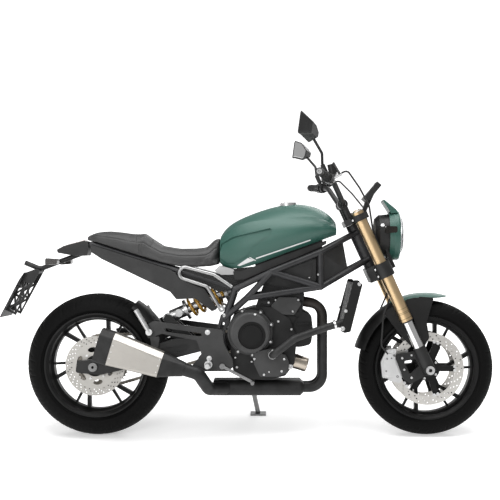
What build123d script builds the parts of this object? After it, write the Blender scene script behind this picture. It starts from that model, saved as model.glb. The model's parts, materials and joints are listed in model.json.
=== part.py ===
from build123d import *
import os
from math import acos, atan2, ceil, cos, degrees, floor, pi, radians, sin, tan

# Scrambler motorcycle, parked on its side stand. All sizes are in millimetres.
# The machine is laid out upright: X runs forward from the rear axle, Y to the rider's left,
# Z up from the road. At the end it leans onto its stand, and its origin becomes the bottom
# centre of its box.

# Driving dimensions of the whole machine
WHEELBASE = 1460
LEAN_DEG = 10
RAKE_DEG = 24.5
FORK_OFFSET = 33
RUNNING_GAP = 0.05
SEAT_GAP = 0.3
TOUCH_GAP = 0.5
SWEEP_GAP = 6

# Wheels and tyres
FRONT_TYRE_RADIUS = 300
FRONT_TYRE_WIDTH = 120
FRONT_CROWN_RADIUS = 60
FRONT_RIM_WIDTH = 89
REAR_TYRE_RADIUS = 315
REAR_TYRE_WIDTH = 180
REAR_CROWN_RADIUS = 92
REAR_RIM_WIDTH = 140
TYRE_WALL = 11
RIM_FLANGE_RADIUS = 229
RIM_SEAT_RADIUS = 217
RIM_WELL_RADIUS = 204
RIM_WALL = 7
FLANGE_THICK = 7
SPOKE_COUNT = 6
SPOKE_FORK_RADIUS = 104
SPOKE_SPREAD_DEG = 18
HUB_RADIUS = 44
FRONT_HUB_HALF = 56
REAR_HUB_HALF = 86
AXLE_RADIUS = 12.5
SPACER_RADIUS = 19
FRONT_AXLE_BORE = 8
REAR_AXLE_BORE = 6

# Brakes
DISC_THICK = 5
FRONT_DISC_RADIUS = 160
FRONT_DISC_INNER = 122
FRONT_DISC_Y = 62.5
REAR_DISC_RADIUS = 130
REAR_DISC_Y = 96
REAR_DISC_INNER = 46
CALIPER_SLOT = DISC_THICK + 2 * SWEEP_GAP
CALIPER_OUTLINE = [(-112, 62), (-176, 40), (-178, -50), (-118, -62)]

# Front fork and steering
LEG_Y = 105
FOOT_RADIUS = 28
FOOT_TOP = 108
STANCHION_RADIUS = 23
OUTER_LOW_RADIUS = 27
OUTER_HIGH_RADIUS = 26
OUTER_BOTTOM = 235
LOWER_CLAMP_LOW = 446
LOWER_CLAMP_HIGH = 512
TOP_CLAMP_LOW = 716
TOP_CLAMP_HIGH = 744
LEG_TOP = 757
CLAMP_FRONT = 16
STEM_RADIUS = 17
STEM_BORE = 9
STEM_SOCKET_TOP = 572
HEAD_TUBE_RADIUS = 31
BAR_RADIUS = 12
BAR_HALF = 418
GRIP_RADIUS = 17
GRIP_LENGTH = 116
BRAKE_HOSE_RADIUS = 4

# Frame, swingarm and drive
TUBE_RADIUS = 13
PLATE_IN = 118
PLATE_OUT = 138
PIVOT = (537, 418)
PIVOT_TUBE_RADIUS = 23
PIVOT_BOLT_RADIUS = 9
ARM_IN = 121
ARM_OUT = 147
SHOCK_LOW = (308, 522)
EAR_IN = 30
SHOCK_HIGH = (612, 652)
SPROCKET = (612, 412)
CHAIN_PITCH = 15.875
REAR_TEETH = 48
FRONT_TEETH = 17
CHAIN_Y = 105
CHAIN_WIDTH = 18
CHAIN_PLATE = 4.5
CHAIN_HEIGHT = 14
CHAIN_WAIST = 9
CHAIN_PIN_RADIUS = 4
SPROCKET_HALF = 3.5
TOOTH_HEIGHT = 4
TOOTH_SEAT_RADIUS = 7
HANGER_IN = 151
HANGER_OUT = 161.5

# Handlebar, headlight and front mudguard; bar and mirror places are in the fork frame and the
# upright frame
BAR_X = -40
BAR_Z = 815
BAR_KNEE = (-48, 185, 915)
BAR_END = (-102, BAR_HALF, 963)
MIRROR_HEAD = (-537, 400, 1326)
MIRROR_OUTWARD = (-0.386, 0.922, 0)
MIRROR_FORWARD = (0.909, 0.38, -0.171)
MIRROR_DEPTH = 40
LAMP_SETBACK = 140
LAMP_Z = 890
LAMP_HALF_WIDTH = 84
LAMP_HALF_HEIGHT = 104
LAMP_WALL = 0.93
FENDER_INNER = 326
FENDER_WALL = 4
FENDER_HALF = 72

# Seat rails, side loops and shock spring
RAIL_RADIUS = 11
RAIL_FRONT = (SHOCK_HIGH[0], 95, SHOCK_HIGH[1])
RAIL_MID = (356, 95, 735)
RAIL_BACK = (-24, 51, 852)
TAIL_BAR_RADIUS = 10
LOOP_RADIUS = 8
LOOP_Y = 129
SPRING_RADIUS = 38
SPRING_WIRE = 7
SPRING_FOOT = 106
SPRING_TOP = 268
SPRING_TURNS = 4.5

# Engine, cooling and exhaust
CASE_HALF = 117
CASE_CORNER = 14
CYLINDER_HALF = 104
RIB_RADIUS = 4
RIB_HEIGHT = 3
CRANKCASE = [(592, 510), (610, 548), (690, 574), (775, 574), (850, 524), (882, 440), (872, 330), (832, 276),
             (760, 258), (640, 262), (604, 300), (594, 380)]
CYLINDER_BLOCK = [(696, 560), (738, 676), (916, 640), (908, 560), (862, 500)]
CLUTCH = (678, 466)
CLUTCH_RADIUS = 98
CLUTCH_FLANGE = 20
CLUTCH_DEPTH = 56
CLUTCH_RECESS = (687, 455)
CLUTCH_RECESS_RADIUS = 60
PUMP_DEPTH = 40
PUMP_OUTLET = (776, 372)
PUMP_OUTLET_DEPTH = 16
FILTER_RADIUS = 32
RADIATOR_CORE = [(1080, 482), (1102, 477), (1148, 676), (1124, 682)]
RADIATOR_GUARD = [(1068, 474), (1086, 465), (1112, 470), (1164, 674), (1146, 693), (1126, 693)]
RADIATOR_HALF = 150
HOSE_RADIUS = 16
HEADER_RADIUS = 21
LINK_RADIUS = 28
BELLY_LOW = 180
BELLY_HIGH = 248
BELLY_HALF = 75
SILENCER_Y = -206

# Bodywork
TANK_STATIONS = [
    # x, bottom z, bottom half width, waist half width, shoulder half width, shoulder z, top z
    (546, 766, 84, 96, 68, 870, 884),
    (592, 744, 92, 116, 88, 912, 938),
    (684, 756, 112, 146, 116, 946, 984),
    (800, 798, 122, 162, 128, 960, 1020),
    (900, 834, 122, 164, 122, 968, 1028),
    (1000, 870, 104, 138, 96, 956, 1000),
    (1056, 890, 76, 92, 66, 928, 948),
]
KNEE_RECESS = [(604, 880), (781, 921), (762, 884), (692, 832), (669, 795), (608, 764), (576, 763), (540, 790),
               (552, 850)]
KNEE_SHARE = 0.955
CAP_RADIUS = 38
CAP_SEAT = Pos(846, 0, 1012) * Rot(0, -4, 0)
AIRBOX_HALF = 100
TRIM_THICK = 13
COVER_THICK = 22
SEAT_STATIONS = [
    # x, bottom z, bottom half width, top half width, top z
    (-48, 866, 58, 40, 885),
    (0, 856, 78, 70, 904),
    (110, 822, 96, 92, 898),
    (186, 799, 104, 102, 890),
    (210, 792, 106, 104, 894),
    (234, 784, 107, 105, 874),
    (290, 767, 110, 108, 838),
    (365, 750, 110, 110, 826),
    (440, 747, 107, 106, 827),
    (486, 749, 102, 98, 832),
    (540, 760, 84, 62, 882),
]
PLATE_TOP = (-319, 725)
PLATE_SLANT = (-0.46, -0.89)
PLATE_HOLE_Y = 120
PLATE_HOLE_SPACING = 110
PLATE_HOLE_RADIUS = 3
PLATE_THICK = 3
PLATE_ARM_RADIUS = 11
CHEEK_Y = 40
CHEEK_DEPTH = 48
CHEEK_LENGTH = 188
PLATE_HANGER = (-0.14, 0.93)

# Side stand
STAND_PIVOT = (664, 150, 282)
STAND_FOOT = (709, 262)
STAND_TILT_DEG = 17
STAND_PIN_RADIUS = 8
STAND_HUB_HALF = 9

# Worked-out places
FRONT_AXLE_REACH = LEG_Y + FOOT_RADIUS + SEAT_GAP
REAR_AXLE_REACH = ARM_OUT + 14
FRONT_AXLE_Z = FRONT_TYRE_RADIUS + FRONT_CROWN_RADIUS * (1 / cos(radians(LEAN_DEG)) - 1)
REAR_AXLE_Z = REAR_TYRE_RADIUS + REAR_CROWN_RADIUS * (1 / cos(radians(LEAN_DEG)) - 1)
FRONT_HUB = Pos(WHEELBASE, 0, FRONT_AXLE_Z)
REAR_HUB = Pos(0, 0, REAR_AXLE_Z)
# Fork frame: origin on the front axle, local Z up along the legs, local X forward, Y left
FORK = FRONT_HUB * Rot(0, -RAKE_DEG, 0)
REAR_SPROCKET_RADIUS = CHAIN_PITCH / sin(radians(180 / REAR_TEETH)) / 2
FRONT_SPROCKET_RADIUS = CHAIN_PITCH / sin(radians(180 / FRONT_TEETH)) / 2
FORK_TURN = Rot(0, -RAKE_DEG, 0)
HEAD_LOW = LOWER_CLAMP_HIGH + TOUCH_GAP
HEAD_HIGH = TOP_CLAMP_LOW - TOUCH_GAP
LAMP_X = WHEELBASE - LAMP_SETBACK
BOWL_STATIONS = ((LAMP_X - 88, 0.72), (LAMP_X - 70, 0.88), (LAMP_X - 8, LAMP_WALL - 0.01))
SILENCER_INNER = -SILENCER_Y - HANGER_OUT - TOUCH_GAP
PLATE_NORMAL = (PLATE_SLANT[1], 0, -PLATE_SLANT[0])
PLATE_SLOPE = Location(Plane((PLATE_TOP[0], 0, PLATE_TOP[1]), x_dir=(0, 1, 0), z_dir=PLATE_NORMAL))
# Rotation that turns a shape built along Z so that it runs along Y
ALONG_Y = Rot(-90, 0, 0)


def side_face(points, y=0.0, corner=0.0):
    """Flat face in the side view from (x, z) points, with rounded corners."""
    line = [(x, y, z) for x, z in points]
    if corner:
        return Face(Wire(FilletPolyline(*line, radius=corner, close=True).edges()))
    return Face(Wire(Polyline(*line, close=True).edges()))


def side_plate(points, y_low, y_high, corner=0.0):
    """Plate with a side-view outline, between two Y planes."""
    return extrude(side_face(points, y_low, corner), amount=y_high - y_low, dir=(0, 1, 0))


def rod(start, end, radius):
    """Round bar between two points."""
    a, b = Vector(*start), Vector(*end)
    return Solid.make_cylinder(radius, (b - a).length, Plane(a, z_dir=b - a))


def cross_rod(place, y_low, y_high, radius):
    """Round bar across the machine at an (x, z) place."""
    return rod((place[0], y_low, place[1]), (place[0], y_high, place[1]), radius)


def bent_tube(points, bend, radius):
    """Round tube along straight runs joined by tangent arcs."""
    path = FilletPolyline(*points, radius=bend)
    return sweep(Plane(path @ 0, z_dir=path % 0) * Circle(radius), path=path)


def both_sides(piece):
    """A piece and its mirror image across the middle of the machine."""
    return [piece, mirror(piece, about=Plane.XZ)]


def fuse(*pieces):
    """One solid from pieces that touch or overlap."""
    whole = pieces[0]
    return whole.fuse(*pieces[1:]).clean() if len(pieces) > 1 else whole


def turned(profile):
    """Ring about the Y axis through the origin from a wire of (y, radius) edges."""
    return revolve(Face(Wire(profile)), Axis.Y)


def ring_points(points):
    """Edges of a closed (y, radius) outline, in the plane that is revolved about Y."""
    return Polyline(*[(0, y, r) for y, r in points], close=True).edges()


# Wheels

def rim(rim_width, hub_half):
    """Cast wheel: barrel, hub and forked spokes, centred on the origin with its axis along Y."""
    half = rim_width / 2
    inner = RIM_WALL
    outline = [
        (half + FLANGE_THICK, RIM_FLANGE_RADIUS), (half, RIM_FLANGE_RADIUS), (half, RIM_SEAT_RADIUS),
        (half - 22, RIM_SEAT_RADIUS - 3), (16, RIM_WELL_RADIUS),
    ]
    under = [
        (20, RIM_WELL_RADIUS - inner), (half - 24, RIM_SEAT_RADIUS - 4 - inner),
        (half - 3, RIM_SEAT_RADIUS - inner), (half + FLANGE_THICK, RIM_FLANGE_RADIUS - inner),
    ]
    left = outline + [(-y, r) for y, r in reversed(outline)]
    right = [(-y, r) for y, r in reversed(under)] + under
    barrel = turned(ring_points(left + right))
    hub = turned(ring_points([
        (hub_half, AXLE_RADIUS + RUNNING_GAP), (hub_half, HUB_RADIUS - 10), (hub_half - 24, HUB_RADIUS),
        (24 - hub_half, HUB_RADIUS), (-hub_half, HUB_RADIUS - 10), (-hub_half, AXLE_RADIUS + RUNNING_GAP),
    ]))
    return fuse(barrel, hub, *spokes())


def spokes():
    """Six forked spokes: one broad arm and one slim arm from each root."""
    reach = RIM_WELL_RADIUS - 4
    spread = radians(SPOKE_SPREAD_DEG)
    root = side_plate([(HUB_RADIUS - 6, -19), (SPOKE_FORK_RADIUS + 6, -13),
                       (SPOKE_FORK_RADIUS + 6, 13), (HUB_RADIUS - 6, 19)], -19, 19, 3)
    slim = side_plate([(SPOKE_FORK_RADIUS - 8, -12), (reach, -5), (reach, 4), (SPOKE_FORK_RADIUS - 8, 2)],
                      -9, 9, 1)
    tip = (reach * cos(spread), reach * sin(spread))
    across = (-sin(spread), cos(spread))
    broad = side_plate([
        (SPOKE_FORK_RADIUS - 10, -4), (tip[0] - 9 * across[0], tip[1] - 9 * across[1]),
        (tip[0] + 9 * across[0], tip[1] + 9 * across[1]), (SPOKE_FORK_RADIUS - 10, 13),
    ], -14, 14, 2)
    arm = fuse(root, slim, broad)
    return [Rot(0, 360 / SPOKE_COUNT * i, 0) * arm for i in range(SPOKE_COUNT)]


def tyre(outer_radius, width, crown, rim_width):
    """Hollow road tyre, open at the rim, with a round crown."""
    half = rim_width / 2
    side = width / 2
    drop = (crown ** 2 - side ** 2) ** 0.5 if crown > side else 0
    shoulder = outer_radius - crown + drop
    bead_out = RIM_FLANGE_RADIUS + 1.5
    bead_in = RIM_SEAT_RADIUS + SEAT_GAP
    toe = half - 14
    inner_wall = (0, toe, bead_out + 4)
    edges = [
        ThreePointArc((0, side, shoulder), (0, 0, outer_radius), (0, -side, shoulder)),
        Polyline((0, -side, shoulder), (0, -half - FLANGE_THICK, bead_out), (0, -half + SEAT_GAP, bead_out),
                 (0, -half + SEAT_GAP, bead_in), (0, -toe, bead_in), (0, -toe, bead_out + 4)),
        ThreePointArc((0, -toe, bead_out + 4), (0, 0, outer_radius - TYRE_WALL), inner_wall),
        Polyline(inner_wall, (0, toe, bead_in), (0, half - SEAT_GAP, bead_in),
                 (0, half - SEAT_GAP, bead_out), (0, half + FLANGE_THICK, bead_out), (0, side, shoulder)),
    ]
    return turned([e for part in edges for e in part.edges()])


def front_disc():
    """Drilled floating ring of the front brake, centred on the origin."""
    ring = Circle(FRONT_DISC_RADIUS) - Circle(FRONT_DISC_INNER)
    for radius, start in ((150, 0), (141, 5), (132, 10)):
        ring -= PolarLocations(radius, 24, start) * Circle(3.2)
    return ALONG_Y * extrude(ring, DISC_THICK / 2, both=True)


def disc_carrier():
    """Black spider that carries one front disc: arms from the hub to the ring's inner edge."""
    plate = Circle(HUB_RADIUS + 10) - Circle(AXLE_RADIUS + 6)
    for angle in range(0, 360, 72):
        plate += Rot(0, 0, angle) * Pos((FRONT_DISC_INNER + HUB_RADIUS) / 2, 0) * Rectangle(
            FRONT_DISC_INNER - HUB_RADIUS, 24)
    plate = plate & Circle(FRONT_DISC_INNER - SEAT_GAP)
    return ALONG_Y * extrude(plate, DISC_THICK / 2, both=True)


def front_wheel():
    """Front wheel with the two disc carriers on its hub."""
    carriers = [Pos(0, side * FRONT_DISC_Y, 0) * disc_carrier() for side in (-1, 1)]
    bosses = [ALONG_Y * Pos(0, 0, side * (FRONT_HUB_HALF + 4)) * Cylinder(HUB_RADIUS - 12, 12)
              for side in (-1, 1)]
    bore = ALONG_Y * Cylinder(AXLE_RADIUS + RUNNING_GAP, 4 * FRONT_HUB_HALF)
    return fuse(rim(FRONT_RIM_WIDTH, FRONT_HUB_HALF), *bosses, *carriers) - bore


def front_discs():
    return [Pos(0, side * FRONT_DISC_Y, 0) * front_disc() for side in (-1, 1)]


def rear_disc():
    """Rear brake disc, bolted to the hub, with six windows and a drilled band."""
    plate = Circle(REAR_DISC_RADIUS) - Circle(REAR_DISC_INNER)
    plate -= PolarLocations(72, 6, 20) * Ellipse(11, 20)
    for radius, start in ((121, 0), (112, 4), (103, 8)):
        plate -= PolarLocations(radius, 30, start) * Circle(2.8)
    return Pos(0, -REAR_DISC_Y, 0) * (ALONG_Y * extrude(plate, DISC_THICK / 2, both=True))


def rear_wheel():
    """Rear wheel with the flanges that take the disc and the sprocket."""
    flange_out = REAR_DISC_Y - DISC_THICK / 2 - SEAT_GAP
    disc_flange = turned(ring_points([
        (-REAR_HUB_HALF + 4, 30), (-flange_out, 30), (-flange_out, 56), (-REAR_HUB_HALF + 4, 56)]))
    drum_out = CHAIN_Y - SPROCKET_HALF - SEAT_GAP
    drum = turned(ring_points([
        (REAR_HUB_HALF - 30, 30), (REAR_HUB_HALF - 30, 66), (drum_out, 66), (drum_out, 30)]))
    return fuse(rim(REAR_RIM_WIDTH, REAR_HUB_HALF), disc_flange, drum)


def sprocket_plate(teeth, pitch_radius, first_deg):
    """Toothed outline: a disc with a round seat for each chain pin, wider than the pin."""
    lift = TOOTH_SEAT_RADIUS - CHAIN_PIN_RADIUS - TOUCH_GAP
    seats = PolarLocations(pitch_radius + lift, teeth, first_deg) * Circle(TOOTH_SEAT_RADIUS)
    return Circle(pitch_radius + TOOTH_HEIGHT) - seats


def rear_sprocket():
    """Driven sprocket between the chain's plates, with round lightening holes."""
    plate = sprocket_plate(REAR_TEETH, REAR_SPROCKET_RADIUS, 0) - Circle(48)
    plate -= PolarLocations(86, 8, 22.5) * Circle(14)
    return Pos(0, CHAIN_Y, 0) * (ALONG_Y * extrude(plate, SPROCKET_HALF, both=True))


def front_axle():
    """Hollow axle with the spacers that locate the wheel between the fork feet."""
    reach = FRONT_AXLE_REACH
    axle = cross_rod((0, 0), -reach - 10, reach, AXLE_RADIUS)
    foot_face = LEG_Y - FOOT_RADIUS - SEAT_GAP
    spacers = [cross_rod((0, 0), *sorted((side * (FRONT_DISC_Y + DISC_THICK), side * foot_face)), SPACER_RADIUS)
               for side in (-1, 1)]
    nut = cross_rod((0, 0), -reach - 10, -reach, SPACER_RADIUS)
    hollow = cross_rod((0, 0), -reach - 10, reach, FRONT_AXLE_BORE)
    return fuse(axle, *spacers, nut) - hollow


def rear_axle():
    """Rear axle with its spacers and end nuts, and the swingarm's pivot bolt."""
    end = REAR_AXLE_REACH
    hub_end = REAR_HUB_HALF + TOUCH_GAP
    axle = cross_rod((0, 0), -end, end, AXLE_RADIUS)
    spacers = [cross_rod((0, 0), *sorted((side * hub_end, side * (ARM_IN - SEAT_GAP))), SPACER_RADIUS)
               for side in (-1, 1)]
    nuts = [cross_rod((0, 0), *sorted((side * (ARM_OUT + SEAT_GAP), side * (end - 2))), SPACER_RADIUS)
            for side in (-1, 1)]
    hollow = cross_rod((0, 0), -end, end, REAR_AXLE_BORE)
    axle_solid = REAR_HUB * (fuse(axle, *spacers, *nuts) - hollow)
    bolt = cross_rod(PIVOT, -PLATE_OUT - 10, PLATE_OUT + 10, PIVOT_BOLT_RADIUS)
    heads = [cross_rod(PIVOT, *sorted((side * (PLATE_OUT + SEAT_GAP), side * (PLATE_OUT + 10))), 14)
             for side in (-1, 1)]
    return [axle_solid, fuse(bolt, *heads)]


# Fork, steering and front end, in the fork frame

def fork_tubes():
    """Upside-down outer tubes, stepped where the lower clamp grips them."""
    def tube():
        step = LOWER_CLAMP_LOW - 2
        low = rod((0, LEG_Y, OUTER_BOTTOM), (0, LEG_Y, step), OUTER_LOW_RADIUS)
        lip = rod((0, LEG_Y, OUTER_BOTTOM), (0, LEG_Y, OUTER_BOTTOM + 24), OUTER_LOW_RADIUS + 1)
        high = rod((0, LEG_Y, step), (0, LEG_Y, LEG_TOP), OUTER_HIGH_RADIUS)
        cap = rod((0, LEG_Y, LEG_TOP), (0, LEG_Y, LEG_TOP + 8), OUTER_HIGH_RADIUS - 7)
        bore = rod((0, LEG_Y, OUTER_BOTTOM), (0, LEG_Y, OUTER_BOTTOM + 60), STANCHION_RADIUS + SEAT_GAP)
        return fuse(low, lip, high, cap) - bore
    return [FORK * piece for piece in both_sides(tube())]


def fork_stanchions():
    """Sliding inner tubes between the feet and the outer tubes."""
    inner = rod((0, LEG_Y, FOOT_TOP + SEAT_GAP), (0, LEG_Y, OUTER_BOTTOM + 60 - SEAT_GAP), STANCHION_RADIUS)
    return [FORK * piece for piece in both_sides(inner)]


def fork_feet():
    """Axle clamps with the webbed arms that carry the calipers."""
    foot = rod((0, LEG_Y, -18), (0, LEG_Y, FOOT_TOP), FOOT_RADIUS)
    clamp = cross_rod((0, 0), LEG_Y - FOOT_RADIUS, LEG_Y + FOOT_RADIUS - 6, 27)
    arm_in, arm_out = LEG_Y - FOOT_RADIUS + 4, LEG_Y - 6
    arm = side_plate([(-6, 92), (-95, 118), (-112, 100), (-118, 4), (-98, -24), (-6, -20)], arm_in, arm_out, 6)
    window = side_plate([(-34, 66), (-84, 78), (-84, 14), (-34, 30)], arm_in - 1, arm_out + 1, 6)
    bore = cross_rod((0, 0), 0, 2 * LEG_Y, AXLE_RADIUS + RUNNING_GAP)
    solid = fuse(foot, clamp, arm - window) - bore
    return [FORK * piece for piece in both_sides(solid)]


def triple_clamps():
    """Lower clamp with the steering stem, and the top clamp with the bar risers."""
    def clamp(low, high, radius, clearance):
        web = [(-FORK_OFFSET - 36, -70), (-FORK_OFFSET - 36, 70), (CLAMP_FRONT, LEG_Y), (CLAMP_FRONT, -LEG_Y)]
        plate = extrude(Pos(0, 0, low) * make_face(Polyline(*web, close=True)), high - low)
        rings = [rod((0, side * LEG_Y, low), (0, side * LEG_Y, high), radius + 13) for side in (-1, 1)]
        cuts = [rod((0, side * LEG_Y, low - 1), (0, side * LEG_Y, high + 1), radius + clearance)
                for side in (-1, 1)]
        return fuse(plate, *rings) - cuts
    stem = rod((-FORK_OFFSET, 0, LOWER_CLAMP_LOW), (-FORK_OFFSET, 0, TOP_CLAMP_LOW - SEAT_GAP), STEM_RADIUS)
    socket = rod((-FORK_OFFSET, 0, LOWER_CLAMP_LOW - 1), (-FORK_OFFSET, 0, STEM_SOCKET_TOP), STEM_BORE)
    lower = fuse(clamp(LOWER_CLAMP_LOW, LOWER_CLAMP_HIGH, OUTER_HIGH_RADIUS, SEAT_GAP), stem) - socket
    risers = [rod((BAR_X, side * 48, TOP_CLAMP_HIGH - 2), (BAR_X, side * 48, BAR_Z - 2), 17) for side in (-1, 1)]
    caps = [cross_rod((BAR_X, BAR_Z), side * 48 - 19, side * 48 + 19, BAR_RADIUS + 11) for side in (-1, 1)]
    bar_hole = cross_rod((BAR_X, BAR_Z), -90, 90, BAR_RADIUS + SEAT_GAP)
    nut = rod((-FORK_OFFSET, 0, TOP_CLAMP_HIGH), (-FORK_OFFSET, 0, TOP_CLAMP_HIGH + 12), 19)
    top = fuse(clamp(TOP_CLAMP_LOW, TOP_CLAMP_HIGH, OUTER_HIGH_RADIUS, SEAT_GAP), *risers, *caps, nut) - bar_hole
    return [FORK * lower, FORK * top]


def bar_path():
    left = [(BAR_X, 96, BAR_Z), BAR_KNEE, BAR_END]
    right = [(x, -y, z) for x, y, z in reversed(left)]
    return FilletPolyline(*right, *left, radius=[60, 45, 45, 60])


def handlebar():
    """Wide tapered handlebar with end weights."""
    path = bar_path()
    bar = sweep(Plane(path @ 0, z_dir=path % 0) * Circle(BAR_RADIUS), path=path)
    along = (Vector(*BAR_END) - Vector(*BAR_KNEE)).normalized()
    tip = Vector(*BAR_END)
    weight = rod(tuple(tip - along * 0.5), tuple(tip + along * 14), GRIP_RADIUS - 1)
    return FORK * fuse(bar, *both_sides(weight))


def grip_span(start, length, radius, hole=BAR_RADIUS + SEAT_GAP):
    """Sleeve on the left end of the bar, start being measured inward from the bar's end."""
    along = (Vector(*BAR_KNEE) - Vector(*BAR_END)).normalized()
    a = Vector(*BAR_END) + along * start
    b = a + along * length
    return rod(tuple(a), tuple(b), radius) - rod(tuple(a - along), tuple(b + along), hole)


def grips():
    return [FORK * piece for piece in both_sides(grip_span(1, GRIP_LENGTH, GRIP_RADIUS))]


def lever_places():
    """Left lever in the fork frame: the middle of its perch, the end of its stub, its knuckle and its tip."""
    along = (Vector(*BAR_KNEE) - Vector(*BAR_END)).normalized()
    root = Vector(*BAR_END) + along * (GRIP_LENGTH + 62)
    return root, root + Vector(54, 0, 4), root + Vector(46, 0, 4), Vector(*BAR_END) + Vector(62, 6, 8)


def hand_controls():
    """Switch housings with the levers and their perches, one on each side."""
    housing = grip_span(GRIP_LENGTH + 2, 46, 23)
    perch = grip_span(GRIP_LENGTH + 49, 26, 19)
    root, stub_end, knuckle, tip = lever_places()
    stub = rod(tuple(root + (stub_end - root) * 0.3), tuple(stub_end), 9)
    blade = rod(tuple(knuckle), tuple(tip), 5.5)
    tank_low = root + Vector(20, 0, 12)
    reservoir = rod(tuple(tank_low), tuple(tank_low + Vector(10, 0, 44)), 17)
    boss = rod(tuple(root + Vector(-4, 0, 16)), tuple(root + Vector(-4, 0, 34)), 8)
    hole = grip_span(GRIP_LENGTH + 30, 60, BAR_RADIUS + SEAT_GAP, 1)
    lever_side = fuse(perch, stub, blade, boss, reservoir) - hole
    return [FORK * piece for piece in (*both_sides(housing), *both_sides(lever_side))]


def mirrors():
    """Mirror heads on their stalks, one on each lever perch, turned towards the rider."""
    local = lever_places()[0] + Vector(-4, 0, 34 + SEAT_GAP)
    foot = Vector(*fork_point(local.X, local.Y, local.Z))
    boot_top = Vector(*fork_point(local.X, local.Y, local.Z + 36))
    head = Vector(WHEELBASE + MIRROR_HEAD[0], *MIRROR_HEAD[1:])
    frame = Location(Plane(head, x_dir=MIRROR_OUTWARD, z_dir=MIRROR_FORWARD))
    neck = (frame * Pos(-62, -48, 6)).position
    stalk = bent_tube([tuple(foot), tuple(boot_top), tuple(foot + Vector(-18, 34, 76)), tuple(neck)], 24, 6)
    boot = rod(tuple(foot), tuple(boot_top), 10)
    glass = Pos(0, 0, -12) * mirror_outline(1.0)
    back = Pos(-8, -10, MIRROR_DEPTH - 12) * mirror_outline(0.5)
    shell = frame * loft([glass.face(), back.face()])
    return both_sides(fuse(stalk, boot, shell))


def mirror_outline(share):
    """Kite-shaped mirror outline: tall at its outer end, drawn in at the neck."""
    points = [(85, 50), (80, -42), (42, -46), (-58, -66), (-84, -58), (-88, -22), (-12, 26)]
    return make_face(FilletPolyline(*[(x * share, y * share) for x, y in points], radius=11 * share, close=True))


def dash():
    """Flat instrument slab on a bracket from the top clamp."""
    slab = Pos(104, 0, 812) * Rot(0, 64, 0) * Box(26, 150, 92)
    slab = fillet(slab.edges().filter_by(Axis.Y, reverse=True), 4)
    post = side_plate([(24, TOP_CLAMP_HIGH + SEAT_GAP), (48, TOP_CLAMP_HIGH + SEAT_GAP), (112, 800), (96, 822)],
                      -22, 22)
    foot = side_plate([(-2, TOP_CLAMP_HIGH + SEAT_GAP), (48, TOP_CLAMP_HIGH + SEAT_GAP),
                       (48, TOP_CLAMP_HIGH + 8), (-2, TOP_CLAMP_HIGH + 8)], -22, 22)
    return FORK * fuse(slab, post, foot)


# Headlight, in the upright frame


def lamp_section(x, share):
    """Oval cross-section of the headlight at a place along it."""
    return Plane((x, 0, LAMP_Z), x_dir=(0, 1, 0), z_dir=(1, 0, 0)) * Ellipse(
        LAMP_HALF_WIDTH * share, LAMP_HALF_HEIGHT * share)


def lamp_loft(*stations):
    return loft([lamp_section(x, share).face() for x, share in stations], ruled=True)


def headlight_shell():
    """Bowl of the headlight with the two plates that hold it to the lower clamp."""
    bowl = lamp_loft(*BOWL_STATIONS)
    stay = FORK * side_plate([(46, LOWER_CLAMP_LOW + 20), (60, LOWER_CLAMP_LOW + 20), (60, 575), (58, 630),
                              (46, LOWER_CLAMP_HIGH)], 50, 56)
    lug = FORK * side_plate([(CLAMP_FRONT + SEAT_GAP, LOWER_CLAMP_LOW + 20), (60, LOWER_CLAMP_LOW + 20),
                             (60, LOWER_CLAMP_HIGH),
                             (CLAMP_FRONT + SEAT_GAP, LOWER_CLAMP_HIGH)], 50, 56)
    return fuse(bowl, *both_sides(fuse(stay, lug)))


def headlight_cowl():
    """Painted ring around the lens with a small visor swept up and back."""
    outer = lamp_loft((LAMP_X - 26, 0.99), (LAMP_X - 4, 1.06), (LAMP_X + 14, 1.06), (LAMP_X + 20, 1.02))
    bowl_room = lamp_loft((LAMP_X - 27, LAMP_WALL), (LAMP_X - 8, LAMP_WALL))
    lens_room = lamp_loft((LAMP_X - 8, LAMP_WALL), (LAMP_X + 21, LAMP_WALL))
    brow = LAMP_Z + LAMP_HALF_HEIGHT
    visor = side_plate([(LAMP_X - 18, brow - 8), (LAMP_X + 12, brow - 4), (LAMP_X + 4, brow + 10),
                        (LAMP_X - 50, brow + 54), (LAMP_X - 54, brow + 48)], -50, 50)
    visor = visor & lamp_loft((LAMP_X - 64, 1.62), (LAMP_X + 30, 1.62))
    return fuse(outer, visor) - [bowl_room, lens_room]


def headlight_lens():
    """Domed lens inside the painted ring."""
    return lamp_loft((LAMP_X - 7.5, 0.92), (LAMP_X + 18, 0.92), (LAMP_X + 34, 0.72), (LAMP_X + 40, 0.4))


def fender_profile(inner, half, wall, skirt):
    """Arched cross-section, as (y, radius) edges."""
    outer = inner + wall
    return [
        ThreePointArc((0, -half, inner - skirt), (0, 0, inner), (0, half, inner - skirt)),
        Line((0, half, inner - skirt), (0, half + wall, inner - skirt)),
        ThreePointArc((0, half + wall, inner - skirt), (0, 0, outer), (0, -half - wall, inner - skirt)),
        Line((0, -half - wall, inner - skirt), (0, -half, inner - skirt)),
    ]


def arc_shell(profile, start_deg, end_deg):
    """Part of a ring about the Y axis, between two angles counted up from +X towards +Z."""
    shape = revolve(Face(Wire(profile)), Axis.Y, end_deg - start_deg)
    return Rot(0, 90 - end_deg, 0) * shape


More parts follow.
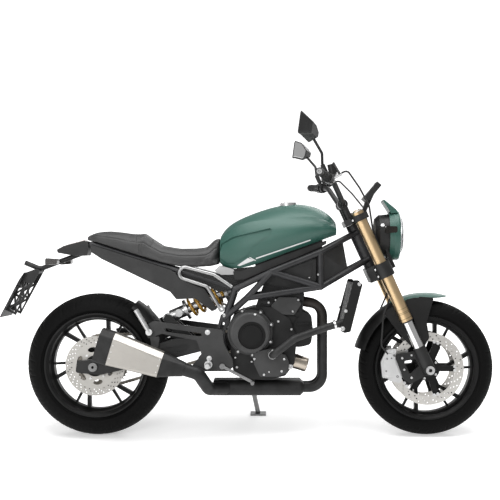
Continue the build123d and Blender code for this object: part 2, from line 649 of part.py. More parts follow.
def front_fender():
    """Arched mudguard with two stays on each side, carried on the fork feet."""
    shell = arc_shell(fender_profile(FENDER_INNER, FENDER_HALF, FENDER_WALL, 36), 86, 164)
    stay_in, stay_out = FENDER_HALF, LEG_Y - FOOT_RADIUS - SEAT_GAP
    front = side_plate([(-44, 318), (26, 314), (-4, 210), (-14, 120), (-52, 104), (-46, 140), (-30, 220)],
                       stay_in, stay_out, 8)
    rear = side_plate([(-190, 250), (-128, 290), (-82, 190), (-52, 128), (-72, 108), (-110, 170)],
                      stay_in, stay_out, 8)
    tie = side_plate([(-76, 128), (-12, 128), (-12, 96), (-76, 96)], stay_in, stay_out, 6)
    return FRONT_HUB * fuse(shell, *both_sides(fuse(front, rear, tie)))


def fender_blade():
    """Painted blade on the crown of the front mudguard, pointed at the front."""
    shell = arc_shell(fender_profile(FENDER_INNER + FENDER_WALL + SEAT_GAP, FENDER_HALF - 10, 4, 24), 74, 118)
    plan = Plane.XY * make_face(Spline((95, 0), (40, 46), (-60, 50), (-165, 0))
                                + Spline((-165, 0), (-60, -50), (40, -46), (95, 0)))
    return FRONT_HUB * (shell & extrude(plan, FENDER_INNER + 60))


def front_calipers():
    """Radial calipers that straddle the front discs behind the fork feet."""
    half = 29
    body = side_plate(CALIPER_OUTLINE, FRONT_DISC_Y - half, FRONT_DISC_Y + half, 12)
    slot = side_plate([(-90, 80), (-164, 60), (-164, -70), (-90, -80)],
                      FRONT_DISC_Y - CALIPER_SLOT / 2, FRONT_DISC_Y + CALIPER_SLOT / 2)
    rim_side = side_plate([(-100, 80), (-140, 80), (-140, -80), (-100, -80)],
                          FRONT_DISC_Y - half - 1, FRONT_DISC_Y - 2)
    foot_room = FORK_TURN * side_plate([(-60, 130), (-119, 110), (-125, 0), (-100, -40), (-60, -40)],
                                       LEG_Y - FOOT_RADIUS + 4 - SEAT_GAP, LEG_Y)
    return [FRONT_HUB * piece for piece in both_sides(body - slot - rim_side - foot_room)]


def front_indicators():
    """Small lamp pods on short stalks beside the headlight."""
    stalk = cross_rod((LAMP_X - 34, LAMP_Z + 20), 60, 138, 6)
    pod = side_plate([(LAMP_X - 58, LAMP_Z + 4), (LAMP_X - 8, LAMP_Z + 8), (LAMP_X - 8, LAMP_Z + 34),
                      (LAMP_X - 58, LAMP_Z + 36)], 138 - 1, 182, 7)
    bowl = lamp_loft(*[(x, share + 0.004) for x, share in BOWL_STATIONS])
    return both_sides(fuse(stalk, pod) - bowl)


def brake_hoses():
    """Hydraulic hoses from each lever, past the clamps, down to each front caliper."""
    root, stub_end = lever_places()[:2]
    out = (stub_end - root).normalized()
    start, lead = stub_end + out * SEAT_GAP, stub_end + out * 28
    route = [(44, 180, 846), (58, LEG_Y + 5, 760), (34, LEG_Y - 33, 660), (28, LEG_Y - 37, 560),
             (28, LEG_Y - 37, 400), (-80, LEG_Y - 20, 300), (-146, LEG_Y - 16, 180), (-126, FRONT_DISC_Y + 22, 100)]
    hose = bent_tube([tuple(start), tuple(lead), *route], [22, 36, 36, 36, 36, 36, 36, 36], BRAKE_HOSE_RADIUS)
    caliper_room = FRONT_HUB * Pos(0, 0, SEAT_GAP) * side_plate(CALIPER_OUTLINE, 0, LEG_Y)
    return both_sides(FORK * hose - caliper_room)


# Frame and chassis, in the upright frame


def fork_point(x, y, z):
    """A point of the fork frame in the upright frame."""
    turn = radians(RAKE_DEG)
    return (WHEELBASE + x * cos(turn) - z * sin(turn), y, FRONT_AXLE_Z + x * sin(turn) + z * cos(turn))


def seat_rail(radius):
    """Left seat rail as rods, at a radius that suits the rail or the room it needs."""
    return [rod(RAIL_FRONT, RAIL_MID, radius), rod(RAIL_MID, RAIL_BACK, radius), Pos(*RAIL_MID) * Sphere(radius)]


def main_frame():
    """Trellis of round tubes from the steering head to forged pivot plates, with the seat rails."""
    head_top = fork_point(-FORK_OFFSET, 26, HEAD_HIGH - 40)
    head_foot = fork_point(-FORK_OFFSET, 24, HEAD_LOW + 34)
    boss = (SHOCK_HIGH[0], 128, SHOCK_HIGH[1])
    crest = (772, 148, 729)
    brow = (983, 140, 814)
    knee = (666, 146, 615)
    waist = (985, 140, 663)
    foot = (570, 128, 528)
    runs = [(boss, crest), (crest, brow), (brow, head_top), (crest, knee), (knee, foot), (knee, waist),
            (crest, waist), (waist, brow), (waist, head_foot), (foot, boss)]
    tubes = [rod(a, b, TUBE_RADIUS) for a, b in runs]
    knots = [Pos(*p) * Sphere(TUBE_RADIUS + 1) for p in (boss, crest, brow, knee, waist, foot)]
    plate = pivot_plate()
    left_half = fuse(*tubes, *knots, plate, *seat_rail(RAIL_RADIUS))
    beam = cross_rod(SHOCK_HIGH, -128, 128, TUBE_RADIUS)
    tail = cross_rod(RAIL_BACK[::2], -RAIL_BACK[1], RAIL_BACK[1], TAIL_BAR_RADIUS)
    head = FORK * rod((-FORK_OFFSET, 0, HEAD_LOW), (-FORK_OFFSET, 0, HEAD_HIGH), HEAD_TUBE_RADIUS)
    bore = FORK * rod((-FORK_OFFSET, 0, HEAD_LOW - 1), (-FORK_OFFSET, 0, HEAD_HIGH + 1), STEM_RADIUS + RUNNING_GAP)
    return fuse(*both_sides(left_half), beam, tail, head) - bore


def pivot_plate():
    """Forged plate on the left that holds the swingarm's pivot, with two windows."""
    outline = [(552, 545), (590, 542), (584, 505), (570, 470), (570, 430), (582, 385), (606, 345), (580, 318),
               (548, 345), (512, 396), (516, 440), (534, 480)]
    plate = side_plate(outline, PLATE_IN, PLATE_OUT, 8)
    windows = [side_plate([(552, 512), (570, 508), (556, 470), (544, 470)], PLATE_IN - 1, PLATE_OUT + 1, 4),
               side_plate([(556, 388), (572, 384), (588, 350), (568, 352)], PLATE_IN - 1, PLATE_OUT + 1, 4)]
    hole = cross_rod(PIVOT, PLATE_IN - 1, PLATE_OUT + 1, PIVOT_BOLT_RADIUS + SEAT_GAP)
    return plate - [*windows, hole]


def subframe_loops():
    """Bright tube loops that edge the side panels, bolted to the frame at both ends."""
    loop = bent_tube([(546, LOOP_Y, 572), (492, LOOP_Y, 664), (376, LOOP_Y, 702), (362, LOOP_Y, 758),
                      (520, LOOP_Y, 716), (600.5, LOOP_Y, 662.2)], 24, LOOP_RADIUS)
    lug = cross_rod((554.2, 567.2), LOOP_Y - 16, LOOP_Y + 10, 14)
    lug -= cross_rod((554.2, 567.2), LOOP_Y - 20, LOOP_Y + 20, 5)
    return both_sides(fuse(loop, lug))


def swingarm():
    """Cast swingarm: pivot tube, yoke ahead of the tyre, two arms and the shock's ears."""
    pivot = cross_rod(PIVOT, -PLATE_IN + TOUCH_GAP, PLATE_IN - TOUCH_GAP, PIVOT_TUBE_RADIUS)
    yoke = side_plate([(504, 436), (360, 430), (352, 400), (360, 366), (504, 394)], -ARM_IN - 1, ARM_IN + 1)
    neck = side_plate([(500, 436), (PIVOT[0], 438), (PIVOT[0], 398), (500, 394)], -PLATE_IN + 2, PLATE_IN - 2)
    axle_z = REAR_AXLE_Z
    arm = side_plate([(496, 436), (360, 440), (60, axle_z + 38), (-70, axle_z + 26), (-76, axle_z - 24),
                      (30, axle_z - 34), (340, 352), (496, 392)], ARM_IN, ARM_OUT, 10)
    relief = side_plate([(420, 418), (150, 372), (150, 344), (400, 386)], ARM_OUT - 8, ARM_OUT + 1, 8)
    axle_hole = REAR_HUB * cross_rod((0, 0), ARM_IN - 1, ARM_OUT + 1, AXLE_RADIUS + SEAT_GAP)
    arm = arm - [relief, axle_hole]
    ear = side_plate([(440, 428), (362, 428), (SHOCK_LOW[0] - 18, SHOCK_LOW[1] - 6),
                      (SHOCK_LOW[0] - 6, SHOCK_LOW[1] + 18), (SHOCK_LOW[0] + 16, SHOCK_LOW[1] + 14)],
                     EAR_IN, EAR_IN + 12)
    pin = cross_rod(SHOCK_LOW, -EAR_IN - 12, EAR_IN + 12, 9)
    bore = cross_rod(PIVOT, -PLATE_OUT, PLATE_OUT, PIVOT_BOLT_RADIUS + SEAT_GAP)
    return fuse(pivot, yoke, neck, *both_sides(arm), *both_sides(ear), pin) - bore


def shock_frame():
    """Place of the shock absorber: origin at its lower eye, local Z along it."""
    a = Vector(SHOCK_LOW[0], 0, SHOCK_LOW[1])
    b = Vector(SHOCK_HIGH[0], 0, SHOCK_HIGH[1])
    return Location(Plane(a, x_dir=(0, 1, 0), z_dir=b - a)), (b - a).length


def shock_body():
    """Damper of the shock absorber with its eyes, reservoir and spring seats."""
    place, length = shock_frame()
    low_eye = rod((TOUCH_GAP - EAR_IN, 0, 0), (EAR_IN - TOUCH_GAP, 0, 0), 20)
    cylinder = rod((0, 0, 16), (0, 0, SPRING_FOOT - 18), 27)
    seat_low = rod((0, 0, SPRING_FOOT - 20), (0, 0, SPRING_FOOT - SPRING_WIRE - SEAT_GAP), SPRING_RADIUS + 7)
    damper = rod((0, 0, SPRING_FOOT - 20), (0, 0, length - 20), 20)
    seat_high = rod((0, 0, SPRING_TOP + SPRING_WIRE + SEAT_GAP), (0, 0, SPRING_TOP + 22), SPRING_RADIUS + 5)
    high_eye = rod((-18, 0, length), (18, 0, length), 21)
    knob = rod((-26, 0, 58), (-48, 0, 58), 17)
    solid = fuse(low_eye, cylinder, seat_low, damper, seat_high, high_eye, knob)
    solid = solid - [rod((-EAR_IN, 0, 0), (EAR_IN, 0, 0), 9 + SEAT_GAP),
                     rod((-30, 0, length), (30, 0, length), TUBE_RADIUS + SEAT_GAP)]
    return place * solid


def shock_spring():
    """Coil spring of the shock absorber."""
    place, _ = shock_frame()
    rise = SPRING_TOP - SPRING_FOOT
    path = Helix(rise / SPRING_TURNS, rise, SPRING_RADIUS)
    wire = Plane(path @ 0, z_dir=path % 0) * RegularPolygon(SPRING_WIRE, 8)
    return place * Pos(0, 0, SPRING_FOOT) * sweep(wire, path=path, is_frenet=True)


def chain_pins():
    """Pin centres around both sprockets, as (x, z): in step with the teeth, evenly spaced between."""
    rear, front = Vector(0, REAR_AXLE_Z), Vector(*SPROCKET)
    line = front - rear
    span = line.length
    heading = atan2(line.Y, line.X)
    spread = acos((REAR_SPROCKET_RADIUS - FRONT_SPROCKET_RADIUS) / span)
    rear_step, front_step = 2 * pi / REAR_TEETH, 2 * pi / FRONT_TEETH
    # Pins on the driven sprocket sit in its tooth seats, which start straight ahead of the axle
    low, high = ceil((heading + spread) / rear_step), floor((heading - spread + 2 * pi) / rear_step)
    rear_arc = [on_circle(rear, REAR_SPROCKET_RADIUS, k * rear_step) for k in range(low, high + 1)]
    half = ceil(spread / front_step)
    front_arc = [on_circle(front, FRONT_SPROCKET_RADIUS, heading + k * front_step) for k in range(-half, half + 1)]
    return rear_arc + between(rear_arc[-1], front_arc[0]) + front_arc + between(front_arc[-1], rear_arc[0])


def on_circle(centre, radius, angle):
    return Vector(centre.X + radius * cos(angle), centre.Y + radius * sin(angle))


def between(start, end):
    """Pins of a straight run, without its ends."""
    count = round((end - start).length / CHAIN_PITCH)
    return [start + (end - start) * (i / count) for i in range(1, count)]


def chain():
    """Drive chain on the left: two rows of waisted link plates, joined by a pin at every pitch."""
    pins = chain_pins()
    outer, inner = [], []
    for before, here, after in zip(pins[-1:] + pins[:-1], pins, pins[1:] + pins[:1]):
        along = (after - before).normalized()
        out = Vector(along.Y, -along.X)
        link = (after - here).normalized()
        link_out = Vector(link.Y, -link.X)
        outer += [here + out * (CHAIN_HEIGHT / 2), (here + after) * 0.5 + link_out * (CHAIN_WAIST / 2)]
        inner += [here - out * (CHAIN_HEIGHT / 2)]
    loop = make_face(Polyline(*outer, close=True)) - make_face(Polyline(*inner, close=True))
    gap = CHAIN_WIDTH - 2 * CHAIN_PLATE
    rows = [Pos(0, 0, z) * extrude(loop, CHAIN_PLATE) for z in (0, CHAIN_PLATE + gap)]
    pin = extrude(RegularPolygon(CHAIN_PIN_RADIUS, 6), gap + CHAIN_PLATE)
    links = fuse(*rows, *[Pos(p.X, p.Y, CHAIN_PLATE / 2) * pin for p in pins])
    return Pos(0, CHAIN_Y + CHAIN_WIDTH / 2, 0) * Rot(90, 0, 0) * links


def rear_guards():
    """Hugger over the front of the rear tyre, and the guard above the chain's top run."""
    hugger = arc_shell(fender_profile(REAR_TYRE_RADIUS + 16, 86, 4, 34), 17, 58)
    yoke_room = side_plate([(300, 300), (380, 300), (380, 436), (300, 436)], -ARM_IN, ARM_IN)
    ears_room = side_plate([(420, 430), (330, 430), (280, 500), (300, 560), (345, 545)], -EAR_IN - 14, EAR_IN + 14)
    tab = side_plate([(282, 452), (300, 466), (362, 440), (398, 440), (398, 432), (360, 430.4)], 46, 58)
    hugger = fuse(REAR_HUB * hugger - [yoke_room, ears_room], *both_sides(tab))
    guard = side_plate([(60, REAR_AXLE_Z + 150), (420, 476), (420, 470), (60, REAR_AXLE_Z + 140)],
                       CHAIN_Y - 12, ARM_OUT)
    flank = side_plate([(60, REAR_AXLE_Z + 150), (420, 476), (440, 438), (396, 439.3), (350, 447),
                        (60, REAR_AXLE_Z + 118)],
                       ARM_OUT - 4, ARM_OUT)
    return [hugger, fuse(guard, flank)]


def rear_caliper():
    """Rear caliper on a bracket about the axle, straddling the disc."""
    bracket = side_plate([(-22, -20), (22, -24), (124, 74), (84, 122), (-14, 26)],
                         -ARM_IN + SEAT_GAP, -REAR_DISC_Y - DISC_THICK / 2 - SWEEP_GAP, 6)
    bracket = bracket - cross_rod((0, 0), -ARM_IN, 0, SPACER_RADIUS + SEAT_GAP)
    body = side_plate([(70, 116), (112, 62), (140, 84), (96, 136)], -ARM_IN + SEAT_GAP, -REAR_DISC_Y + 26, 8)
    slot = side_plate([(20, 116), (92, 22), (131, 70), (80, 131)],
                      -REAR_DISC_Y - CALIPER_SLOT / 2, -REAR_DISC_Y + CALIPER_SLOT / 2)
    return REAR_HUB * fuse(bracket, body - slot)


def footpeg_hangers():
    """Cast hangers for the footpegs, bolted to the pivot plates on bosses."""
    outline = [(232, 500), (262, 516), (505, 484), (560, 478), (566, 420), (604, 350), (606, 318),
               (584, 300), (446, 300), (430, 326), (470, 372), (450, 432), (300, 462), (236, 440)]
    plate = side_plate(outline, HANGER_IN, HANGER_OUT, 10)
    slot = side_plate([(300, 488), (470, 464), (470, 448), (320, 470)], HANGER_IN - 1, HANGER_OUT + 1, 5)
    bosses = [cross_rod(p, PLATE_OUT + SEAT_GAP, HANGER_IN + 1, 12) for p in ((556, 466), (590, 338))]
    left, right = both_sides(fuse(plate - slot, *bosses))
    tongue = side_plate([(246, 452), (290, 448), (282, 396), (256, 398)], -HANGER_OUT, -HANGER_IN, 5)
    return [left, fuse(right, tongue)]


def footpegs():
    """Rider's pegs out, passenger's pegs folded up."""
    rider = cross_rod((500, 330), HANGER_OUT + SEAT_GAP, HANGER_OUT + 92, 11)
    knuckle = cross_rod((500, 330), HANGER_OUT + SEAT_GAP, HANGER_OUT + 16, 17)
    hinge = cross_rod((246, 470), HANGER_OUT + SEAT_GAP, HANGER_OUT + 26, 14)
    blade = rod((246, HANGER_OUT + 16, 470), (190, HANGER_OUT + 22, 566), 11)
    return [*both_sides(fuse(rider, knuckle)), *both_sides(fuse(hinge, blade))]


def foot_controls():
    """Rear brake pedal on the right and gear lever on the left, each pivoted on its hanger."""
    def lever(side, pivot, toe, pad):
        y = side * (HANGER_OUT + 8)
        hub = cross_rod(pivot, *sorted((side * (HANGER_OUT + SEAT_GAP), side * (HANGER_OUT + 14))), 12)
        arm = rod((pivot[0], y, pivot[1]), (toe[0], y, toe[1]), 6.5)
        tip = cross_rod(toe, *sorted((y, y + side * pad)), 8)
        return fuse(hub, arm, tip)
    return [lever(-1, (560, 322), (690, 254), 46), lever(1, (570, 320), (702, 332), 52)]


# Engine and exhaust


def engine():
    """Crankcase and forward-leaning cylinder block as one mass, with the output shaft's sprocket."""
    case = side_plate(CRANKCASE, -CASE_HALF, CASE_HALF, CASE_CORNER)
    drive_room = side_plate([(560, 480), (672, 480), (672, 350), (560, 350)], CHAIN_Y - CHAIN_WIDTH / 2 - 3, 130)
    block = side_plate(CYLINDER_BLOCK, -CYLINDER_HALF, CYLINDER_HALF, 10)
    rib_y = CYLINDER_HALF - RIB_RADIUS + RIB_HEIGHT
    ribs = [rod((712 + 10 * i, side * rib_y, 566 + 22 * i), (884 + 8 * i, side * rib_y, 530 + 22 * i), RIB_RADIUS)
            for i in range(4) for side in (-1, 1)]
    shaft = cross_rod(SPROCKET, 60, CHAIN_Y + CHAIN_WIDTH / 2 + 2, 14)
    heading = degrees(atan2(SPROCKET[1] - REAR_AXLE_Z, SPROCKET[0]))
    teeth = extrude(sprocket_plate(FRONT_TEETH, FRONT_SPROCKET_RADIUS, heading), SPROCKET_HALF, both=True)
    sprocket = Pos(SPROCKET[0], CHAIN_Y, SPROCKET[1]) * (Rot(90, 0, 0) * teeth)
    return fuse(case - drive_room, block, *ribs, shaft, sprocket)


def engine_covers():
    """Clutch, pump and camshaft covers on the right, generator and sprocket covers on the left."""
    y = CASE_HALF + SEAT_GAP
    flange = cross_rod(CLUTCH, -y - CLUTCH_FLANGE, -y, CLUTCH_RADIUS)
    lugs = [cross_rod(polar(CLUTCH, CLUTCH_RADIUS, angle), -y - CLUTCH_FLANGE - 2, -y, 11)
            for angle in (20, 62, 110, 238, 276, 335)]
    dome = cross_rod(CLUTCH, -y - CLUTCH_DEPTH, -y, CLUTCH_RADIUS - 9)
    dome = fillet(dome.edges().group_by(Axis.Y)[0], 14)
    recess = cross_rod(CLUTCH_RECESS, -y - CLUTCH_DEPTH - 1, -y - CLUTCH_DEPTH + 10, CLUTCH_RECESS_RADIUS)
    plate = cross_rod(CLUTCH_RECESS, -y - CLUTCH_DEPTH + 1, -y - CLUTCH_DEPTH + 12, CLUTCH_RECESS_RADIUS - 16)
    pump = side_plate([(690, 380), (769, 397), (796, 378), (834, 367), (847, 336), (844, 294), (795, 276),
                       (722, 276), (696, 330)], -y - PUMP_DEPTH, -y, 10)
    outlet = cross_rod(PUMP_OUTLET, -y - PUMP_DEPTH - PUMP_OUTLET_DEPTH, -y, HOSE_RADIUS + 7)
    right = fuse(fuse(flange, *lugs, dome) - recess, plate, pump, outlet)
    generator = cross_rod((772, 446), y, y + 44, 88)
    generator = fillet(generator.edges().group_by(Axis.Y)[-1], 14)
    sprocket_cover = side_plate([(612, 470), (668, 466), (676, 360), (640, 352), (612, 356)], y + 4, y + 26, 12)
    bridge = side_plate([(660, 470), (700, 470), (700, 400), (660, 400)], y, y + 20, 6)
    head_y = CYLINDER_HALF + RIB_HEIGHT + SEAT_GAP
    head = side_plate([(769, 579), (804, 618), (883, 616), (902, 588), (870, 540), (791, 544)],
                      head_y, head_y + 12, 8)
    case_room = Pos(0, 0, SEAT_GAP) * side_plate(CRANKCASE, 0, CASE_HALF + 20)
    return [right, fuse(generator, sprocket_cover, bridge), *both_sides(head - case_room)]


def polar(centre, radius, angle_deg):
    """A point of the side view at an angle about a centre."""
    return (centre[0] + radius * cos(radians(angle_deg)), centre[1] + radius * sin(radians(angle_deg)))


def oil_filter():
    """Screw-on filter canister, low on the front of the crankcase."""
    can = rod((840, -40, 343), (930, -40, 314), FILTER_RADIUS)
    can = fillet(can.edges().group_by(Axis.X)[-1], 8)
    crimp = rod((876, -40, 331.4), (882, -40, 329.5), FILTER_RADIUS + 2)
    return fuse(can, crimp) - Pos(SEAT_GAP, 0, 0) * side_plate(CRANKCASE, -CASE_HALF, CASE_HALF, CASE_CORNER)


def radiator():
    """Slanted radiator: a finned core between two tanks, with a guard on each side."""
    low, front, high, back = RADIATOR_CORE
    core = side_plate(RADIATOR_CORE, -RADIATOR_HALF, RADIATOR_HALF)
    fins = []
    for i in range(9):
        share = 0.1 + 0.1 * i
        x, z = front[0] + (high[0] - front[0]) * share, front[1] + (high[1] - front[1]) * share
        fins.append(Pos(x, 0, z) * Rot(0, 13, 0) * Box(9, 2 * RADIATOR_HALF - 36, 12))
    guard = side_plate(RADIATOR_GUARD, RADIATOR_HALF - 1, RADIATOR_HALF + 12, 6)
    return fuse(core - fins, *both_sides(guard))


def coolant_hose():
    """Hose from the pump cover to the foot of the radiator, on the right."""
    start = -CASE_HALF - PUMP_DEPTH - PUMP_OUTLET_DEPTH - 2 * SEAT_GAP
    x, z = PUMP_OUTLET
    hose = bent_tube([(x, start, z), (x, start - 30, z), (x + 96, start - 16, z + 72), (1010, -136, 488),
                      (1112, -124, 516)], [22, 40, 40], HOSE_RADIUS)
    low, front, high, back = RADIATOR_CORE
    core_room = side_plate([(low[0] - SEAT_GAP, low[1]), front, high, (back[0] - SEAT_GAP, back[1])], -200, 0)
    return hose - core_room


def exhaust_pipes():
    """Two header pipes down into the belly can, and the fat link pipe out to the silencer."""
    header = bent_tube([(900, 46, 598), (998, 46, 580), (998, 40, 214), (880, 34, 214)], 60, HEADER_RADIUS)
    middle = (BELLY_LOW + BELLY_HIGH) / 2
    can_face = Plane((915, 0, middle), x_dir=(0, 1, 0), z_dir=(-1, 0, 0)) * RectangleRounded(
        2 * BELLY_HALF, BELLY_HIGH - BELLY_LOW, 30)
    can = extrude(can_face, 400)
    can = chamfer(can.faces().sort_by(Axis.X)[-1].edges(), 16)
    inlet = silencer_frame() * Pos(0, 0, -62)
    mouth = silencer_frame() * Pos(0, 0, 0)
    link = bent_tube([(590, -36, middle), (500, -132, middle + 6), tuple(inlet.position), tuple(mouth.position)],
                     34, LINK_RADIUS)
    block_room = Pos(SEAT_GAP, 0, 0) * side_plate(CYLINDER_BLOCK, -CYLINDER_HALF, CYLINDER_HALF)
    return fuse(*both_sides(header - block_room), can, link)


def silencer_frame():
    """Place of the silencer: local Z runs back and up along it, local X up, local Y to the left."""
    return Location(Plane((400, SILENCER_Y, 313), x_dir=(0.3, 0, 1), z_dir=(-1, 0, 0.3)))


def silencer_section(along, low, high, half):
    """Five-sided cross-section of the silencer."""
    points = [(low, -half), (high - 26, -half), (high, -half * 0.4), (high, SILENCER_INNER), (low, SILENCER_INNER)]
    return (Pos(0, 0, along) * make_face(FilletPolyline(*points, radius=14, close=True))).face()


def silencer():
    """Bright tapering silencer body."""
    return silencer_frame() * loft([silencer_section(102, -62, 46, 42), silencer_section(322, -74, 68, 48)])


def silencer_caps():
    """Black inlet cone and slanted end cap of the silencer."""
    place = silencer_frame()
    neck = (Pos(0, 0, SEAT_GAP) * Circle(LINK_RADIUS + 3)).face()
    cone = loft([neck, silencer_section(101.7, -62, 46, 42)])
    end = extrude(silencer_section(322.3, -75, 69, 49), 60)
    outlet = Pos(0, 0, 372) * Cylinder(24, 60)
    return [place * cone, place * (end - outlet)]


# Tank, seat and bodywork


def tank_section(x, low, foot, waist, shoulder, shoulder_z, top):
    """Cross-section of the tank: flat bottom, full sides up to a creased shoulder, and a crowned top."""
    left = Spline((x, foot, low), (x, waist, low + (shoulder_z - low) * 0.5), (x, shoulder, shoulder_z))
    crown = Spline((x, shoulder, shoulder_z), (x, shoulder * 0.55, shoulder_z + (top - shoulder_z) * 0.72), (x, 0, top),
                   (x, -shoulder * 0.55, shoulder_z + (top - shoulder_z) * 0.72), (x, -shoulder, shoulder_z))
    right = Spline((x, -shoulder, shoulder_z), (x, -waist, low + (shoulder_z - low) * 0.5), (x, -foot, low))
    base = Line((x, -foot, low), (x, foot, low))
    return Face(Wire([*left.edges(), *crown.edges(), *right.edges(), *base.edges()]))


def tank_body():
    return loft([tank_section(*station) for station in TANK_STATIONS])


def tank_room():
    """The tank lowered by a seating gap, to cut what lies under it."""
    return Pos(0, 0, -SEAT_GAP) * tank_body()


def fuel_tank():
    """Painted steel tank, lofted along the machine, with a shallow knee recess on each side."""
    body = tank_body()
    recess = CAP_SEAT * (Pos(0, 0, 30) * Cylinder(CAP_RADIUS + SEAT_GAP, 60))
    knees = side_plate(KNEE_RECESS, -200, 200, 9) - scale(body, (1, KNEE_SHARE, 1))
    return body - recess - knees


def fuel_cap():
    """Round filler cap sunk into the top of the tank."""
    return CAP_SEAT * (Pos(0, 0, 11 + SEAT_GAP) * Cylinder(CAP_RADIUS, 22))


def side_covers():
    """Dark bands between the tank and the frame, and the covers in the trellis."""
    inner = AIRBOX_HALF + TOUCH_GAP
    panel = side_plate([(806, 728), (966, 790), (966, 686), (940, 684)], inner, inner + COVER_THICK, 8)
    dish = side_plate([(842, 729), (950, 768), (950, 706), (936, 700)],
                      inner + COVER_THICK - 5, inner + COVER_THICK + 1, 6)
    return [*both_sides(trim_band() - tank_room()), *both_sides(panel - dish)]


def trim_band():
    """Dark band on the left, from the seat's nose up to the front of the tank."""
    inner = AIRBOX_HALF + TOUCH_GAP
    return side_plate([(604, 730), (640, 732), (800, 790), (1000, 862), (1012, 866), (1010, 850), (984, 836),
                       (772, 746), (650, 694), (612, 694)], inner, inner + TRIM_THICK, 3)


def nose_panels():
    """Small pale panels under the seat's nose, each set against the rear end of its dark band."""
    inner = AIRBOX_HALF + TOUCH_GAP
    panel = side_plate([(520, 734), (545, 756), (606, 739), (614, 716), (552, 715)], inner, inner + 9, 4)
    return both_sides(panel - Pos(-SEAT_GAP, 0, 0) * trim_band())


def airbox():
    """Air filter box between the engine and the tank."""
    box = side_plate([(700, 684.2), (916, 640.5), (980, 648), (996, 880), (800, 810), (700, 772)],
                     -AIRBOX_HALF, AIRBOX_HALF, 6)
    return box - tank_room()


def seat_section(x, low, foot, top_half, top):
    """Cross-section of the seat: flat base, upright sides and a soft crown."""
    rise = top - low
    right = [(foot, 0.0), (top_half + 6, 0.45), (top_half * 0.9, 0.86), (top_half * 0.5, 0.98)]
    points = [(x, y, low + rise * share) for y, share in right]
    crown = Spline(*points, (x, 0, top), *[(x, -p[1], p[2]) for p in reversed(points)])
    floor = Line((x, -foot, low), (x, foot, low))
    return Face(Wire([*crown.edges(), *floor.edges()]))


def seat():
    """Two-level seat, lofted from the tail to the tank and resting on the seat rails."""
    body = loft([seat_section(*station) for station in SEAT_STATIONS])
    rails = seat_rail(RAIL_RADIUS + SEAT_GAP)
    return body - [piece for rail in rails for piece in both_sides(rail)]


def tail_panels():
    """Curved side panels under the seat, one on each side."""
    outline = [(-26, 848), (330, 738), (352, 722), (372, 694), (480, 652), (536, 566), (512, 556), (440, 612),
               (356, 608), (330, 640), (24, 784), (-26, 816)]
    wall = 5
    outer = Spline((-60, 62, 0), (160, 92, 0), (360, 112, 0), (560, 115, 0))
    inner = Spline((560, 115 - wall, 0), (360, 112 - wall, 0), (160, 92 - wall, 0), (-60, 62 - wall, 0))
    strip = make_face(outer + Line(outer @ 1, inner @ 0) + inner + Line(inner @ 1, outer @ 0))
    side = side_plate(outline, 0, 200, 6)
    return both_sides(extrude(strip, 1000) & side)


def tail_light():
    """Tail unit behind the seat, with the seat of the rear lamp's lens."""
    outline = [(-40, 830), (-40, 860), (-60, 866), (-150, 842), (-180, 826), (-176, 812), (-100, 798), (-46, 800)]
    body = side_plate(outline, -46, 46, 6)
    x, _, z = RAIL_BACK
    tongue = side_plate([(x + 16, z - 14), (x + 16, z + 4), (x - 30, z + 4), (x - 30, z - 20)], -34, 34)
    bar_room = cross_rod((x, z), -60, 60, TAIL_BAR_RADIUS + SEAT_GAP)
    return fuse(body, tongue) - [bar_room, plate_arm(PLATE_ARM_RADIUS + SEAT_GAP), lens_block(SEAT_GAP)]


def lens_block(gap):
    """Rear lamp's lens, or with a gap the room that it needs."""
    return side_plate([(-58 + gap, 838 - gap), (-58 + gap, 872), (-78, 864 + gap), (-124 - gap, 852 + gap),
                       (-150 - gap, 843), (-150 - gap, 836 - gap)], -36 - gap, 36 + gap)


def tail_lens():
    return lens_block(0)


def plate_arm(radius):
    """Arm from the tail unit to the plate bracket, which hangs from its lowest bend."""
    x, z = cheek_spot(*PLATE_HANGER)
    return bent_tube([(-70, 0, 812), (-176, 0, 773), (x + 4, 0, z + 12), (x - 64, 0, z + 40)], 40, radius)


def cheek_spot(along, across):
    """(x, z) of a place down the plate bracket's cheek and forward from the plate, as shares of its size."""
    x = PLATE_TOP[0] + PLATE_SLANT[0] * along * CHEEK_LENGTH - PLATE_SLANT[1] * across * CHEEK_DEPTH
    return (x, PLATE_TOP[1] + PLATE_SLANT[1] * along * CHEEK_LENGTH + PLATE_SLANT[0] * across * CHEEK_DEPTH)


def plate_carrier():
    """Number-plate arm and its folded bracket, with a lattice in each cheek, below the tail."""
    bracket = make_face(Polyline((-70, 0), (70, 0), (92, 40), (92, 220), (-92, 220), (-92, 40), close=True))
    bracket -= Pos(0, PLATE_HOLE_Y) * Rectangle(84, 84)
    bracket -= Pos(0, PLATE_HOLE_Y) * GridLocations(PLATE_HOLE_SPACING, PLATE_HOLE_SPACING, 2, 2) * Circle(
        PLATE_HOLE_RADIUS)
    plate = PLATE_SLOPE * extrude(bracket, -PLATE_THICK)
    reach = CHEEK_Y + PLATE_THICK
    hanger = cross_rod(cheek_spot(*PLATE_HANGER), -reach, reach, 8)
    return fuse(plate_arm(PLATE_ARM_RADIUS), hanger, plate, *both_sides(plate_cheek()))


